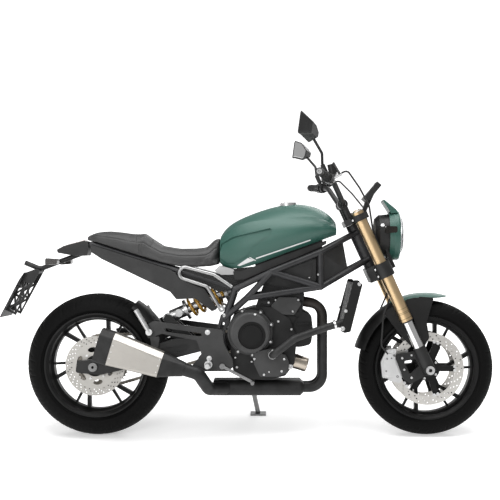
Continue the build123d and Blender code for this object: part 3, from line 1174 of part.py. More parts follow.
def plate_cheek():
    """Lattice cheek on the left, folded forward from the plate."""
    corners = [(0, 0.02), (-0.2, 0.75), (-0.2, 1.1), (1, 1), (1, 0.02)]
    sheet = side_plate([cheek_spot(*p) for p in corners], CHEEK_Y, CHEEK_Y + PLATE_THICK)
    windows = []
    for cell in (0.2, 0.6):
        windows += [[(cell, 0.22), (cell, 0.78), (cell + 0.14, 0.5)],
                    [(cell + 0.06, 0.14), (cell + 0.17, 0.38), (cell + 0.28, 0.14)],
                    [(cell + 0.06, 0.86), (cell + 0.17, 0.62), (cell + 0.28, 0.86)],
                    [(cell + 0.34, 0.22), (cell + 0.34, 0.78), (cell + 0.2, 0.5)]]
    cuts = [side_plate([cheek_spot(*p) for p in window], CHEEK_Y - 1, CHEEK_Y + PLATE_THICK + 1)
            for window in windows]
    return sheet - cuts


def rear_indicators():
    """Lamp pods on stalks either side of the plate arm."""
    stalk = cross_rod((-176, 773), 0, 120, 6)
    pod = side_plate([(-204, 758), (-152, 762), (-152, 784), (-204, 788)], 119, 162, 7)
    return [piece - plate_arm(PLATE_ARM_RADIUS + SEAT_GAP) for piece in both_sides(fuse(stalk, pod))]


# Side stand


def stand_axis():
    """Direction of the side stand's pivot pin, out and up on the left."""
    return Vector(0, cos(radians(STAND_TILT_DEG)), sin(radians(STAND_TILT_DEG)))


def side_stand():
    """Folding leg with a flat foot that lies on the road when the machine leans."""
    pivot, axis = Vector(*STAND_PIVOT), stand_axis()
    x, y = STAND_FOOT
    road = y * tan(radians(LEAN_DEG))
    knee = pivot + axis * 3
    leg = rod(tuple(knee), (x, y, road + 6), 11)
    cheek = rod(tuple(pivot - axis * 40), tuple(pivot - axis * STAND_HUB_HALF), 60)
    hub = rod(tuple(pivot - axis * STAND_HUB_HALF), tuple(pivot + axis * STAND_HUB_HALF), 19)
    foot = Pos(x, y, road) * Rot(LEAN_DEG, 0, 0) * Pos(0, 0, 4) * Box(74, 44, 8)
    under = Pos(x, y, road) * Rot(LEAN_DEG, 0, 0) * Pos(0, 0, -20) * Box(90, 60, 40)
    hole = rod(tuple(pivot - axis * 20), tuple(pivot + axis * 20), STAND_PIN_RADIUS + RUNNING_GAP)
    return fuse(leg, hub, foot) - [cheek, under, hole]


def stand_bracket():
    """Bracket and pivot pin of the side stand, on the lower left of the crankcase."""
    pivot, axis = Vector(*STAND_PIVOT), stand_axis()
    pin = rod(tuple(pivot - axis * 20), tuple(pivot + axis * 12), STAND_PIN_RADIUS)
    block = rod(tuple(pivot - axis * 60), tuple(pivot - axis * (STAND_HUB_HALF + TOUCH_GAP)), 21)
    case_room = Pos(STAND_PIVOT[0], CASE_HALF + SEAT_GAP - 100, STAND_PIVOT[2]) * Box(200, 200, 200)
    return fuse(block, pin) - case_room


NODES = {
    "front_rim": lambda: FRONT_HUB * front_wheel(),
    "front_tyre": lambda: FRONT_HUB * tyre(FRONT_TYRE_RADIUS, FRONT_TYRE_WIDTH, FRONT_CROWN_RADIUS, FRONT_RIM_WIDTH),
    "front_discs": lambda: [FRONT_HUB * d for d in front_discs()],
    "rear_rim": lambda: REAR_HUB * rear_wheel(),
    "rear_tyre": lambda: REAR_HUB * tyre(REAR_TYRE_RADIUS, REAR_TYRE_WIDTH, REAR_CROWN_RADIUS, REAR_RIM_WIDTH),
    "rear_disc": lambda: REAR_HUB * rear_disc(),
    "rear_sprocket": lambda: REAR_HUB * rear_sprocket(),
    "front_axle": lambda: FRONT_HUB * front_axle(),
    "rear_axle": rear_axle,
    "fork_tubes": fork_tubes,
    "fork_stanchions": fork_stanchions,
    "fork_feet": fork_feet,
    "triple_clamps": triple_clamps,
    "handlebar": handlebar,
    "grips": grips,
    "hand_controls": hand_controls,
    "mirrors": mirrors,
    "dash": dash,
    "headlight_shell": headlight_shell,
    "headlight_cowl": headlight_cowl,
    "headlight_lens": headlight_lens,
    "front_fender": front_fender,
    "fender_blade": fender_blade,
    "front_calipers": front_calipers,
    "front_indicators": front_indicators,
    "brake_hoses": brake_hoses,
    "main_frame": main_frame,
    "subframe_loops": subframe_loops,
    "swingarm": swingarm,
    "shock_body": shock_body,
    "shock_spring": shock_spring,
    "chain": chain,
    "rear_guards": rear_guards,
    "rear_caliper": rear_caliper,
    "footpeg_hangers": footpeg_hangers,
    "footpegs": footpegs,
    "foot_controls": foot_controls,
    "engine": engine,
    "engine_covers": engine_covers,
    "oil_filter": oil_filter,
    "radiator": radiator,
    "coolant_hose": coolant_hose,
    "exhaust_pipes": exhaust_pipes,
    "silencer": silencer,
    "silencer_caps": silencer_caps,
    "fuel_tank": fuel_tank,
    "fuel_cap": fuel_cap,
    "side_covers": side_covers,
    "nose_panels": nose_panels,
    "airbox": airbox,
    "seat": seat,
    "tail_panels": tail_panels,
    "tail_light": tail_light,
    "tail_lens": tail_lens,
    "plate_carrier": plate_carrier,
    "rear_indicators": rear_indicators,
    "stand_bracket": stand_bracket,
    "side_stand": side_stand,
}


def whole(made):
    """A node's solids as one shape."""
    solids = [s for piece in (made if isinstance(made, list) else [made]) for s in piece.solids()]
    return solids[0] if len(solids) == 1 else Compound(solids)


def park(shapes):
    """Lean the machine onto its stand and put the origin at the bottom centre of its box."""
    leaning = {name: Rot(-LEAN_DEG, 0, 0) * shape for name, shape in shapes.items()}
    box = Compound(list(leaning.values())).bounding_box()
    shift = Pos(-(box.min.X + box.max.X) / 2, -(box.min.Y + box.max.Y) / 2, -box.min.Z)
    return {name: shift * shape for name, shape in leaning.items()}, shift


SHAPES, SHIFT = park({name: whole(make()) for name, make in NODES.items()})
os.makedirs("parts", exist_ok=True)
for node, shape in SHAPES.items():
    export_step(shape, f"parts/{node}.step")
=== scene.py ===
import json
from math import asin, cos, pi, radians, sin, sqrt, tau
import bpy
from mathutils import Matrix, Vector
from mathutils.bvhtree import BVHTree


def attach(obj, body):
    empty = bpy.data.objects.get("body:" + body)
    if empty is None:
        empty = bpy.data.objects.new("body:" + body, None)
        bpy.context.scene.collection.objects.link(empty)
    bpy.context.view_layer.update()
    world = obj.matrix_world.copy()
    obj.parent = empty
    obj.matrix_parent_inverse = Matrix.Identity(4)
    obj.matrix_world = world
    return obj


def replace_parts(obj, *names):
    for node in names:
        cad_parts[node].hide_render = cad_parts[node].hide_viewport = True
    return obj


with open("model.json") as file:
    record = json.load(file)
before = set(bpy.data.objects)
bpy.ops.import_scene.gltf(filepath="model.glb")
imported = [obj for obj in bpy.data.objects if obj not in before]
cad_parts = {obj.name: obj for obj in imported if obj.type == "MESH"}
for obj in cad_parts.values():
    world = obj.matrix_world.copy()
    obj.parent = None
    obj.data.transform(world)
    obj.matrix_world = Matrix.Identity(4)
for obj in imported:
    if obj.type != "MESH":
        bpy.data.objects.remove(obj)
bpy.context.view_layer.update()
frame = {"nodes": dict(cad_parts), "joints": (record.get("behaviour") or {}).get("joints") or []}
NODES = frame["nodes"]

# The machine's own layout. It stands on its side stand, so its upright frame leans in the
# row frame: the wheel axles give its left, and the rear axle's height gives its foot. The
# fork has a frame of its own, with its origin on the front axle.
JOINTS = {joint["name"]: joint for joint in frame["joints"]}
REAR_AXLE = Vector(JOINTS["rear_wheel_spin"]["pos_m"])
FRONT_AXLE = Vector(JOINTS["front_wheel_spin"]["pos_m"])
LEFT = Vector(JOINTS["rear_wheel_spin"]["axis"]).normalized()
FORWARD = Vector((1, 0, 0))
UP = FORWARD.cross(LEFT)
REAR_AXLE_HEIGHT = 316.42
FOOT = REAR_AXLE - UP * (REAR_AXLE_HEIGHT / 1000)
RAKE = radians(24.5)
FORK_FORWARD = FORWARD * cos(RAKE) + UP * sin(RAKE)
FORK_UP = UP * cos(RAKE) - FORWARD * sin(RAKE)


def place_in(origin, fore, up):
    """Turns millimetres forward, left and up of an origin into places in the row frame."""
    return lambda x, y, z: origin + (fore * x + LEFT * y + up * z) / 1000


at = place_in(FOOT, FORWARD, UP)
on_fork = place_in(FRONT_AXLE, FORK_FORWARD, FORK_UP)
by_hub = place_in(FRONT_AXLE, FORWARD, UP)


# The studio: a white sweep that glows softly, a broad soft box overhead, one on the camera's
# side and one behind, as for a catalogue picture on white.
class Flow:
    """A socket in a finish's node tree, with Python's operators for its maths."""

    def __init__(self, tree, socket=None):
        self.tree, self.socket = tree, socket

    def add(self, kind, inputs=None, out=0, **settings):
        """Any node: its settings first, then its inputs as values or links."""
        node = self.tree.nodes.new("ShaderNode" + kind)
        for key, value in settings.items():
            setattr(node, key, value)
        for key, value in (inputs or {}).items():
            if isinstance(value, Flow):
                self.tree.links.new(value.socket, node.inputs[key])
            else:
                node.inputs[key].default_value = value
        return Flow(self.tree, node.outputs[out])

    def maths(self, operation, first, second=0.0):
        return self.add("Math", {0: first, 1: second}, operation=operation)

    def __add__(self, other):
        return self.maths("ADD", self, other)

    def __sub__(self, other):
        return self.maths("SUBTRACT", self, other)

    def __rsub__(self, other):
        return self.maths("SUBTRACT", other, self)

    def __mul__(self, other):
        return self.maths("MULTIPLY", self, other)

    def __abs__(self):
        return self.maths("ABSOLUTE", self)

    __radd__ = __add__
    __rmul__ = __mul__

    def above(self, limit, soft):
        """1 where the value is above a limit, with a soft edge."""
        return self.add("MapRange", {0: self, 1: limit - soft, 2: limit + soft}, interpolation_type="SMOOTHSTEP")

    def below(self, limit, soft):
        return 1 - self.above(limit, soft)


def rgb(colour):
    """Three values of a colour, from those or from one value of grey."""
    return (colour,) * 3 if isinstance(colour, float) else colour


def finish(name, colour, roughness, metallic=0.0, vary=None, shine=0.5, **fixed):
    """A material on the principled shader. vary gives the sockets that change over the surface."""
    material = bpy.data.materials.new(name)
    material.use_nodes = True
    tree = material.node_tree
    shader = tree.nodes["Principled BSDF"]
    base = {"Base Color": (*rgb(colour), 1), "Roughness": roughness, "Metallic": metallic, "Specular IOR Level": shine}
    for key, value in {**base, **fixed}.items():
        shader.inputs[key.replace("_", " ")].default_value = value
    for key, value in (vary(Flow(tree)) if vary else {}).items():
        tree.links.new(value.socket, shader.inputs[key])
    return material


scene = bpy.context.scene
scene.view_settings.view_transform = "Standard"
ROOM_LIGHT = 0.42
SEEN_WHITE = 1.2
world = bpy.data.worlds.new("white_room")
world.use_nodes = True
seen = Flow(world.node_tree).add("LightPath", out="Is Camera Ray") * (SEEN_WHITE - ROOM_LIGHT) + ROOM_LIGHT
backdrop = world.node_tree.nodes["Background"]
backdrop.inputs["Color"].default_value = (1, 1, 1, 1)
world.node_tree.links.new(seen.socket, backdrop.inputs["Strength"])
scene.world = world


def soft_box(name, place, target, size, watts):
    lamp = bpy.data.lights.new(name, "AREA")
    lamp.shape, lamp.size, lamp.size_y, lamp.energy = "RECTANGLE", *size, watts
    lit = bpy.data.objects.new(name, lamp)
    lit.location = place
    lit.rotation_euler = (Vector(target) - Vector(place)).to_track_quat("-Z", "Y").to_euler()
    scene.collection.objects.link(lit)


soft_box("overhead", (0.1, -0.5, 3.4), (0, 0, 0.5), (4.4, 2.0), 150)
soft_box("camera_side", (-1.9, -4.4, 2.4), (0, 0, 0.6), (2.2, 1.6), 75)
soft_box("behind", (1.6, 3.8, 2.8), (0, 0, 0.7), (3.2, 1.4), 70)


def form(name, points, faces):
    """A bare mesh object over points."""
    mesh = bpy.data.meshes.new(name)
    mesh.from_pydata([tuple(point) for point in points], [], faces)
    made = bpy.data.objects.new(name, mesh)
    scene.collection.objects.link(made)
    return made


FLOOR = 30
corners = [(-FLOOR, -FLOOR, 0), (FLOOR, -FLOOR, 0), (FLOOR, FLOOR, 0), (-FLOOR, FLOOR, 0)]
floor = form("floor", corners, [(0, 1, 2, 3)])
GLOW_NEAR, GLOW_FAR = 0.4, 1.0
GLOW_EDGE, GLOW_SOFT = 2.6, 1.3


def sweep_glow(flow):
    """The sweep glows more away from the machine, where the soft boxes no longer reach it."""
    out = flow.add("VectorMath", {0: flow.add("TexCoord", out="Object")}, "Value", operation="LENGTH")
    glow = out.above(GLOW_EDGE, GLOW_SOFT) * (GLOW_FAR - GLOW_NEAR) + GLOW_NEAR
    return {"Emission Color": flow.add("CombineColor", {0: glow, 1: glow, 2: glow})}


floor.data.materials.append(finish("white_sweep", 0.9, 1.0, vary=sweep_glow, shine=0.0, Emission_Strength=1.0))

# The camera stands square on to the right side, level with the foot of the tank, and leans
# with the machine, so the picture shows it as if upright.
CAMERA_AT = (765, -4200, 771)
LENS, SENSOR = 67.5, 36
SHIFT = (-0.04, 0.024)
camera_data = bpy.data.cameras.new("camera")
camera = bpy.data.objects.new("camera", camera_data)
scene.collection.objects.link(camera)
turn = Matrix((FORWARD, UP, -LEFT)).transposed().to_4x4()
turn.translation = at(*CAMERA_AT)
camera.matrix_world = turn
camera_data.lens, camera_data.sensor_width = LENS, SENSOR
camera_data.shift_x, camera_data.shift_y = SHIFT
scene.camera = camera


# Main frame: a trellis of round steel tubes welded to forged pivot plates, powder coated in
# satin dark grey. The coat has a fine orange peel and a little dust.
def place_of(flow):
    return flow.add("TexCoord", out="Object")


def noise(flow, scale, detail=3.0, vector=None):
    return flow.add("TexNoise", {"Vector": vector or place_of(flow), "Scale": scale, "Detail": detail})


def tint(flow, factor, first, second):
    """Colour between two colours or links."""
    first, second = [c if isinstance(c, Flow) else (*rgb(c), 1) for c in (first, second)]
    return flow.add("Mix", {0: factor, 6: first, 7: second}, out=2, data_type="RGBA")


def varied(flow, shade, roughness, relief, depth):
    """The sockets that most finishes vary. The relief is a link, or the scale of a fine noise."""
    height = noise(flow, relief, 2.0) if isinstance(relief, float) else relief
    normal = flow.add("Bump", {"Height": height, "Distance": depth})
    return {"Base Color": tint(flow, *shade), "Roughness": roughness, "Normal": normal}


def painted(name, dark, light, low, high, grain=900.0, depth=0.00006, **fixed):
    """A coat with a fine grain, broad changes of shade, and a roughness between two values."""
    def vary(flow):
        broad = noise(flow, 11.0).above(0.5, 0.16)
        return varied(flow, (broad, dark, light), noise(flow, 32.0) * (high - low) + low, grain, depth)
    return finish(name, light, (low + high) / 2, vary=vary, **fixed)


def dress(material, *names):
    """Puts a finish on CAD nodes."""
    for name in names:
        mesh = NODES[name].data
        mesh.materials.clear()
        mesh.materials.append(material)


dress(painted("frame_coat", (0.012, 0.012, 0.01296), (0.02, 0.02, 0.0216), 0.34, 0.48, shine=0.35), "main_frame")


# Frame fasteners: socket screws of zinc-plated steel at the frame's joints, the hanger plates
# and the radiator, each seated where a line across the machine first meets the metal.
def skin(rings, closed=False):
    """Points and faces over rings of equal count. Open ends are capped."""
    count = len(rings[0])
    points = [point for ring in rings for point in ring]
    faces = []
    for ring in range(len(rings) if closed else len(rings) - 1):
        a, b = ring * count, (ring + 1) % len(rings) * count
        faces += [(a + i, a + (i + 1) % count, b + (i + 1) % count, b + i) for i in range(count)]
    if not closed:
        faces += [tuple(reversed(range(count))), tuple(range(len(points) - count, len(points)))]
    return points, faces


def piece(name, shapes, material, body, crease=38):
    """A piece of one or more shapes on a body, smooth except at edges sharper than the crease."""
    points, faces = [], []
    for some_points, some_faces in shapes if isinstance(shapes, list) else [shapes]:
        base = len(points)
        points += some_points
        faces += [tuple(base + i for i in face) for face in some_faces]
    made = form(name, points, faces)
    made.data.shade_smooth()
    made.data.set_sharp_from_angle(angle=radians(crease))
    made.data.materials.append(material)
    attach(made, body)
    return made


def stand(place, direction):
    """A frame with its Z along a direction."""
    made = direction.to_track_quat("Z", "Y").to_matrix().to_4x4()
    made.translation = place
    return made


def turned(frame_of, profile, count):
    """A turned shape from (radius, height) pairs in millimetres; a third value of 6 makes a hexagon."""
    rings = []
    for radius, height, *sides in profile:
        ring = []
        for i in range(count):
            angle = tau * i / count
            reach = radius
            if sides:
                half = pi / sides[0]
                reach = radius * cos(half) / cos(angle % (2 * half) - half)
            ring.append(frame_of @ (Vector((reach * cos(angle), reach * sin(angle), height)) / 1000))
        rings.append(ring)
    return skin(rings)


def screw(place, direction, radius, washer=0.0):
    """Socket screw head, with a washer under it where a size is given."""
    edge = [(washer, -2), (washer, 1.4), (radius, 1.6)] if washer else [(radius, -2)]
    return turned(stand(place, direction), edge + [
        (radius, radius * 0.8), (radius * 0.86, radius * 0.95), (radius * 0.62, radius * 0.95, 6),
        (radius * 0.56, radius * 0.3, 6)], 24)


TREES = {}
CLEAR_ASIDE = 700
FACING = 0.6


def tree_of(mesh):
    return BVHTree.FromPolygons([v.co for v in mesh.vertices], [p.vertices for p in mesh.polygons])


def land(x, z, side, nodes):
    """Where a line across the machine at (x, z) first meets the named nodes, and the way it faces."""
    start = at(x, side * CLEAR_ASIDE, z)
    best = None
    for name in nodes:
        if name not in TREES:
            TREES[name] = tree_of(NODES[name].data)
        spot, normal, _, distance = TREES[name].ray_cast(start, -LEFT * side)
        if spot and (best is None or distance < best[2]):
            best = (spot, normal if normal.dot(LEFT * side) > 0 else -normal, distance)
    return best


def screws(name, spots, nodes, body="chassis", sides=(-1, 1)):
    """A set of zinc-plated screws at (x, z, radius, washer) spots on the first of the nodes under each."""
    shapes = []
    for x, z, radius, *washer in spots:
        for side in sides:
            found = land(x, z, side, nodes)
            if found and found[1].dot(LEFT * side) > FACING:
                shapes.append(screw(found[0], found[1], radius, *washer))
    piece(name, shapes, zinc, body)


def metal(name, base, low, high, scale=60.0):
    """Bare or plated metal: a cloudy polish with fine handling marks."""
    base = rgb(base)

    def vary(flow):
        cloud = noise(flow, scale)
        return varied(flow, (cloud, tuple(c * 0.86 for c in base), base),
                      cloud * (high - low) + low, scale * 22, 0.00003)
    return finish(name, base, (low + high) / 2, 1.0, vary=vary)


zinc = metal("zinc_plate", 0.74, 0.24, 0.4)
FRAME_SPOTS = [(566, 540, 6, 9), (974, 716, 4.5), (496, 468, 6.5, 11), (503, 356, 6.5, 11), (581, 297, 6.5, 11)]
screws("frame_screws", FRAME_SPOTS, ["main_frame", "footpeg_hangers", "side_covers"])
RADIATOR_SPOTS = [(1078, 484, 6, 10), (1150, 676, 5, 8), (1092, 560, 4.5, 7)]
screws("radiator_screws", RADIATOR_SPOTS, ["radiator"])

# Engine: one sand-cast mass of crankcase and cylinders under baked black paint, with a filter
# canister of coated steel screwed to its front.
engine_paint = painted("engine_black", 0.005, 0.01, 0.42, 0.6, 520.0, 0.00022, shine=0.25)
dress(engine_paint, "engine")
dress(metal("filter_can", (0.44, 0.39, 0.33), 0.26, 0.42), "oil_filter")


# Front of the crankcase: a cast bulge ahead of the cylinders' foot that holds the balancer, with
# two ribs cast across its face on each side, painted with the case.
def rounded(points, cut, steps=5):
    """A closed outline with its corners rounded, each starting a distance from the corner."""
    made = []
    for before, here, after in zip(points[-1:] + points[:-1], points, points[1:] + points[:1]):
        b, h, a = Vector(before), Vector(here), Vector(after)
        start, stop = h + (b - h).normalized() * cut, h + (a - h).normalized() * cut
        for i in range(steps + 1):
            t = i / steps
            made.append(start * (1 - t) ** 2 + h * (2 * t * (1 - t)) + stop * t ** 2)
    return made


def slab(outline, low, high, place, cut, bevel):
    """A plate over a side-view outline between two distances to the left, its edges bevelled."""
    points = rounded(outline, cut)
    middle = sum(points, Vector((0, 0))) / len(points)
    near = max((point - middle).length for point in points)
    inner = [middle + (point - middle) * (1 - bevel / near) for point in points]
    rings = [(inner, low), (points, low + bevel), (points, high - bevel), (inner, high)]
    return skin([[place(p.x, y, p.y) for p in ring] for ring, y in rings])


CASE_FRONT = [(820, 402), (900, 398), (944, 410), (954, 470), (946, 540), (906, 562), (820, 548)]
CASE_FRONT_HALF, RIB_RISE = 96, 4
front_parts = [slab(CASE_FRONT, -CASE_FRONT_HALF, CASE_FRONT_HALF, at, 14.0, 5.0)]
for face in (-CASE_FRONT_HALF, CASE_FRONT_HALF):
    for height in (446, 500):
        rib = [(880, height - 4), (938, height - 2), (938, height + 6), (880, height + 4)]
        front_parts.append(slab(rib, face - RIB_RISE, face + RIB_RISE, at, 2.0, 1.5))
piece("case_front", front_parts, engine_paint, "chassis")

# Engine covers: die-cast clutch, pump and camshaft covers in satin black, smoother than the
# case. The clutch cover's recessed middle is painted darker than its rim, as painted shade in the recess.
CLUTCH = (678, 466)
CLUTCH_RECESS = at(687, 0, 455)
CLUTCH_RECESS_RADIUS = 60
FLANGE_REACH, GENERATOR_REACH = 98, 80
GENERATOR = (772, 446)


def spans(flow, origin, *ways):
    """How far the place on the surface lies from an origin, in millimetres along each way."""
    spot = flow.add("VectorMath", {0: place_of(flow), 1: origin}, operation="SUBTRACT")
    return [flow.add("VectorMath", {0: spot, 1: way * 1000}, "Value", operation="DOT_PRODUCT") for way in ways]


def across(flow):
    """Upright coordinates in millimetres, forward, left and up, of the place on the surface."""
    return spans(flow, FOOT, FORWARD, LEFT, UP)


def off_axle(flow, axle):
    """Distance in millimetres from a line across the machine."""
    fore, high = spans(flow, axle, FORWARD, UP)
    return flow.maths("SQRT", fore * fore + high * high)


def cover_paint(flow):
    cloud = noise(flow, 13.0).above(0.5, 0.2)
    # Painted shade: the clutch cover's recessed middle is painted near black.
    recess_shade = off_axle(flow, CLUTCH_RECESS).below(CLUTCH_RECESS_RADIUS - 1, 1.5)
    outer = tint(flow, cloud, 0.034, 0.046)
    return varied(flow, (recess_shade, outer, 0.002), noise(flow, 40.0) * 0.14 + 0.34, 700.0, 0.00009)


def spots_round(middle, reach, angles):
    """Screw spots on a circle in the side view."""
    return [(middle[0] + reach * cos(a), middle[1] + reach * sin(a), 5) for a in angles]


dress(finish("cover_paint", 0.03, 0.4, vary=cover_paint, shine=0.22), "engine_covers")
flange_spots = spots_round(CLUTCH, FLANGE_REACH, [radians(a) for a in (20, 62, 110, 238, 276, 335)])
COVER_SPOTS = [(697, 353, 5), (685, 337, 4), (739, 285, 5), (815, 300, 5), (761, 297, 3.5), (826, 352, 5),
               (790, 604, 4.5), (888, 606, 4.5), (864, 556, 4.5)]
CASE_SPOTS = [(801, 512, 5), (858, 478, 5), (854, 314, 8, 12), (614, 355, 4), (621, 313, 5), (759, 594, 5),
              (700, 545, 5)]
screws("cover_screws", flange_spots + COVER_SPOTS + CASE_SPOTS, ["engine_covers", "engine"])
generator_spots = spots_round(GENERATOR, GENERATOR_REACH, [0.3 + tau * i / 7 for i in range(7)])
screws("generator_screws", generator_spots, ["engine_covers"], sides=(1,))

# Radiator: a brazed aluminium core painted black between plastic guards. Fine upright fins show
# between its flat tubes, with painted shade darkening the gaps between them.
FIN_PITCH = 2.6


def fin_stack(flow):
    _, left, _ = across(flow)
    fins_and_shade = flow.maths("SINE", left * (tau / FIN_PITCH))
    # Painted shade: the colour is darker in the gaps between the fins.
    return varied(flow, (fins_and_shade * 0.5 + 0.5, 0.003, 0.014), noise(flow, 90.0) * 0.2 + 0.4, fins_and_shade, 0.0004)


dress(finish("radiator_fins", 0.01, 0.5, vary=fin_stack, shine=0.25), "radiator")

# Coolant and brake hoses: smooth extruded rubber, with steel band clips on the coolant hose's
# ends where it is pushed over its stubs.
hose_rubber = painted("hose_rubber", 0.01, 0.016, 0.45, 0.62, 1500.0, 0.00004, shine=0.35)
dress(hose_rubber, "coolant_hose", "brake_hoses")


def hoop(frame_of, profile, count=48):
    """A ring turned from a closed outline of (radius, height) pairs in millimetres."""
    rings = []
    for i in range(count):
        angle = tau * i / count
        rings.append([frame_of @ (Vector((r * cos(angle), r * sin(angle), h)) / 1000) for r, h in profile])
    return skin(rings, closed=True)


CLIP = [(16.2, -4.5), (17.4, -4.5), (17.4, 4.5), (16.2, 4.5)]
WORM = [(4.5, -5.4), (5, -4.5), (5, 4.5), (4.5, 5.4)]
LAST_RUN = at(1112, -124, 516) - at(1010, -136, 488)
clips = []
for spot, way in ((at(776, -183, 372), LEFT), (at(1046, -132, 498), LAST_RUN)):
    around = stand(spot, way.normalized())
    clips += [hoop(around, CLIP), turned(around @ Matrix.Translation((0, 0.0198, 0)), WORM, 8)]
piece("hose_clips", clips, zinc, "chassis")


# Exhaust: headers, belly can and link pipe in heat-proof matt black, bleached a little brown and
# grey where they run hottest, near the cylinders.
HOT_ABOVE, HOT_SOFT = 520, 90


def heat_paint(flow):
    _, _, up = across(flow)
    hot = up.above(HOT_ABOVE, HOT_SOFT) * noise(flow, 16.0).above(0.45, 0.2)
    soot = noise(flow, 24.0).above(0.52, 0.2)
    black = tint(flow, soot, 0.008, 0.015)
    return varied(flow, (hot, black, (0.03, 0.024, 0.02)), noise(flow, 60.0) * 0.2 + 0.42, 800.0, 0.0001)


exhaust_paint = finish("exhaust_black", 0.012, 0.5, vary=heat_paint, shine=0.28)
dress(exhaust_paint, "exhaust_pipes", "silencer_caps")

# Silencer: a rolled stainless body, brushed along its length, riveted to a steel strap at each
# end and bolted to the hanger's tongue.
SILENCER_AT = at(400, -206, 313)
SILENCER_ALONG = (UP * 0.3 - FORWARD).normalized()
SILENCER_UP = (UP + FORWARD * 0.3).normalized()
BRUSH_SCALE, BRUSH_PULL = 1400.0, 0.98


def brushed(name, base, direction, low, high):
    """Metal brushed along a direction: its noise is drawn out that way."""
    base = rgb(base)

    def vary(flow):
        spot = place_of(flow)
        run = flow.add("VectorMath", {0: spot, 1: direction}, "Value", operation="DOT_PRODUCT") * BRUSH_PULL
        pull = flow.add("VectorMath", {0: tuple(direction), "Scale": run}, operation="SCALE")
        line = noise(flow, BRUSH_SCALE, 2.0, flow.add("VectorMath", {0: spot, 1: pull}, operation="SUBTRACT"))
        shade = line * 0.6 + noise(flow, 18.0) * 0.4
        return varied(flow, (shade, tuple(c * 0.72 for c in base), base), line * (high - low) + low, line, 0.00005)
    return finish(name, base, (low + high) / 2, 1.0, vary=vary)


dress(brushed("silencer_steel", (0.44, 0.42, 0.39), SILENCER_ALONG, 0.36, 0.5), "silencer")


def silencer_spot(along, up):
    """Upright (x, z) of a place on the silencer."""
    spot = SILENCER_AT + (SILENCER_ALONG * along + SILENCER_UP * up) / 1000 - FOOT
    return spot.dot(FORWARD) * 1000, spot.dot(UP) * 1000


rivet_spots = [(*silencer_spot(along, up), 2.6) for along in (110, 314) for up in (-40, -12, 16)]
screws("silencer_rivets", rivet_spots, ["silencer"], sides=(-1,))

# Swingarm and hangers: cast alloy under satin black paint, with the hanger plates left a shade
# lighter. The axle's adjuster blocks are bare steel.
swing_paint = painted("swingarm_black", 0.009, 0.015, 0.34, 0.5, 600.0, 0.0001, shine=0.3)
dress(swing_paint, "swingarm")
hanger_coat = painted("hanger_grey", 0.022, 0.034, 0.36, 0.5, 700.0, 0.00009, Metallic=0.2, shine=0.35)
dress(hanger_coat, "footpeg_hangers")
steel_dark = metal("dark_steel", 0.22, 0.3, 0.48)
dress(steel_dark, "rear_axle", "foot_controls", "side_stand", "stand_bracket")
alloy = metal("bare_alloy", 0.58, 0.28, 0.44)
dress(alloy, "footpegs", "rear_caliper")

# Shock absorber: a machined alloy damper with a black foot, inside a gold-painted spring that is
# coiled from round bar and ground flat at both ends.
dress(metal("damper_alloy", 0.52, 0.28, 0.44), "shock_body")
SHOCK_LOW, SHOCK_HIGH = at(308, 0, 522), at(612, 0, 652)
SPRING_RADIUS, SPRING_WIRE = 38, 6.9
SPRING_FOOT, SPRING_TOP, SPRING_TURNS = 106, 268, 4.5
COIL_STEPS, WIRE_SIDES, END_EASE = 190, 16, 0.045
shock_stand = stand(SHOCK_LOW, (SHOCK_HIGH - SHOCK_LOW).normalized())
coil = []
for step in range(COIL_STEPS + 1):
    share = step / COIL_STEPS
    eased = share - END_EASE * sin(tau * share)
    angle = tau * SPRING_TURNS * share
    height = SPRING_FOOT + (SPRING_TOP - SPRING_FOOT) * eased
    ring = []
    for i in range(WIRE_SIDES):
        a = tau * i / WIRE_SIDES
        reach = SPRING_RADIUS + SPRING_WIRE * cos(a)
        ring.append(shock_stand @ (Vector((reach * cos(angle), reach * sin(angle),
                                           height + SPRING_WIRE * sin(a))) / 1000))
    coil.append(ring)
spring_paint = painted("spring_gold", (0.46, 0.24, 0.025), (0.55, 0.31, 0.04), 0.24, 0.4, Metallic=0.2, Coat_Weight=0.6)
spring = piece("coil_spring", skin(coil), spring_paint, "chassis", 60)
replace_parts(spring, "shock_spring")

# Wheels: gravity-cast alloy with forked spokes, one piece from hub to rim, in satin black. Only the
# hub's ends and the beads' seats are machined.
wheel_paint = painted("black_alloy", 0.003, 0.006, 0.34, 0.5, 650.0, 0.00009, shine=0.2)
dress(wheel_paint, "front_rim", "rear_rim")

# Tyres: road rubber with slanted grooves, moulded bands on the walls and a dull bloom on the
# tread. Each is made ring by ring, its grooves pressed into the crown.
BEAD_RADIUS, BEAD_SEAT = 230.5, 217.3
GROOVE_DEPTH = 3.2
REPEAT_STEPS = 24


def groove_depth(turn_share, across_share):
    """Depth of the tread at a share of its repeat and of the half width, from -1 to 1."""
    if across_share < 0:
        turn_share, across_share = (turn_share + 0.5) % 1, -across_share
    deep = 0.0
    for start, low, high, slope in ((0.08, 0.1, 0.8, 0.52), (0.6, 0.42, 0.92, 0.4)):
        centre = start + slope * (across_share - low) ** 1.15 if across_share > low else start
        gap = abs((turn_share - centre + 0.5) % 1 - 0.5)
        ends = min((across_share - low) / 0.06, (high - across_share) / 0.06, 1)
        deep = max(deep, max(0, min(1, (0.062 - gap) / 0.03)) * max(0, ends))
    return deep * GROOVE_DEPTH


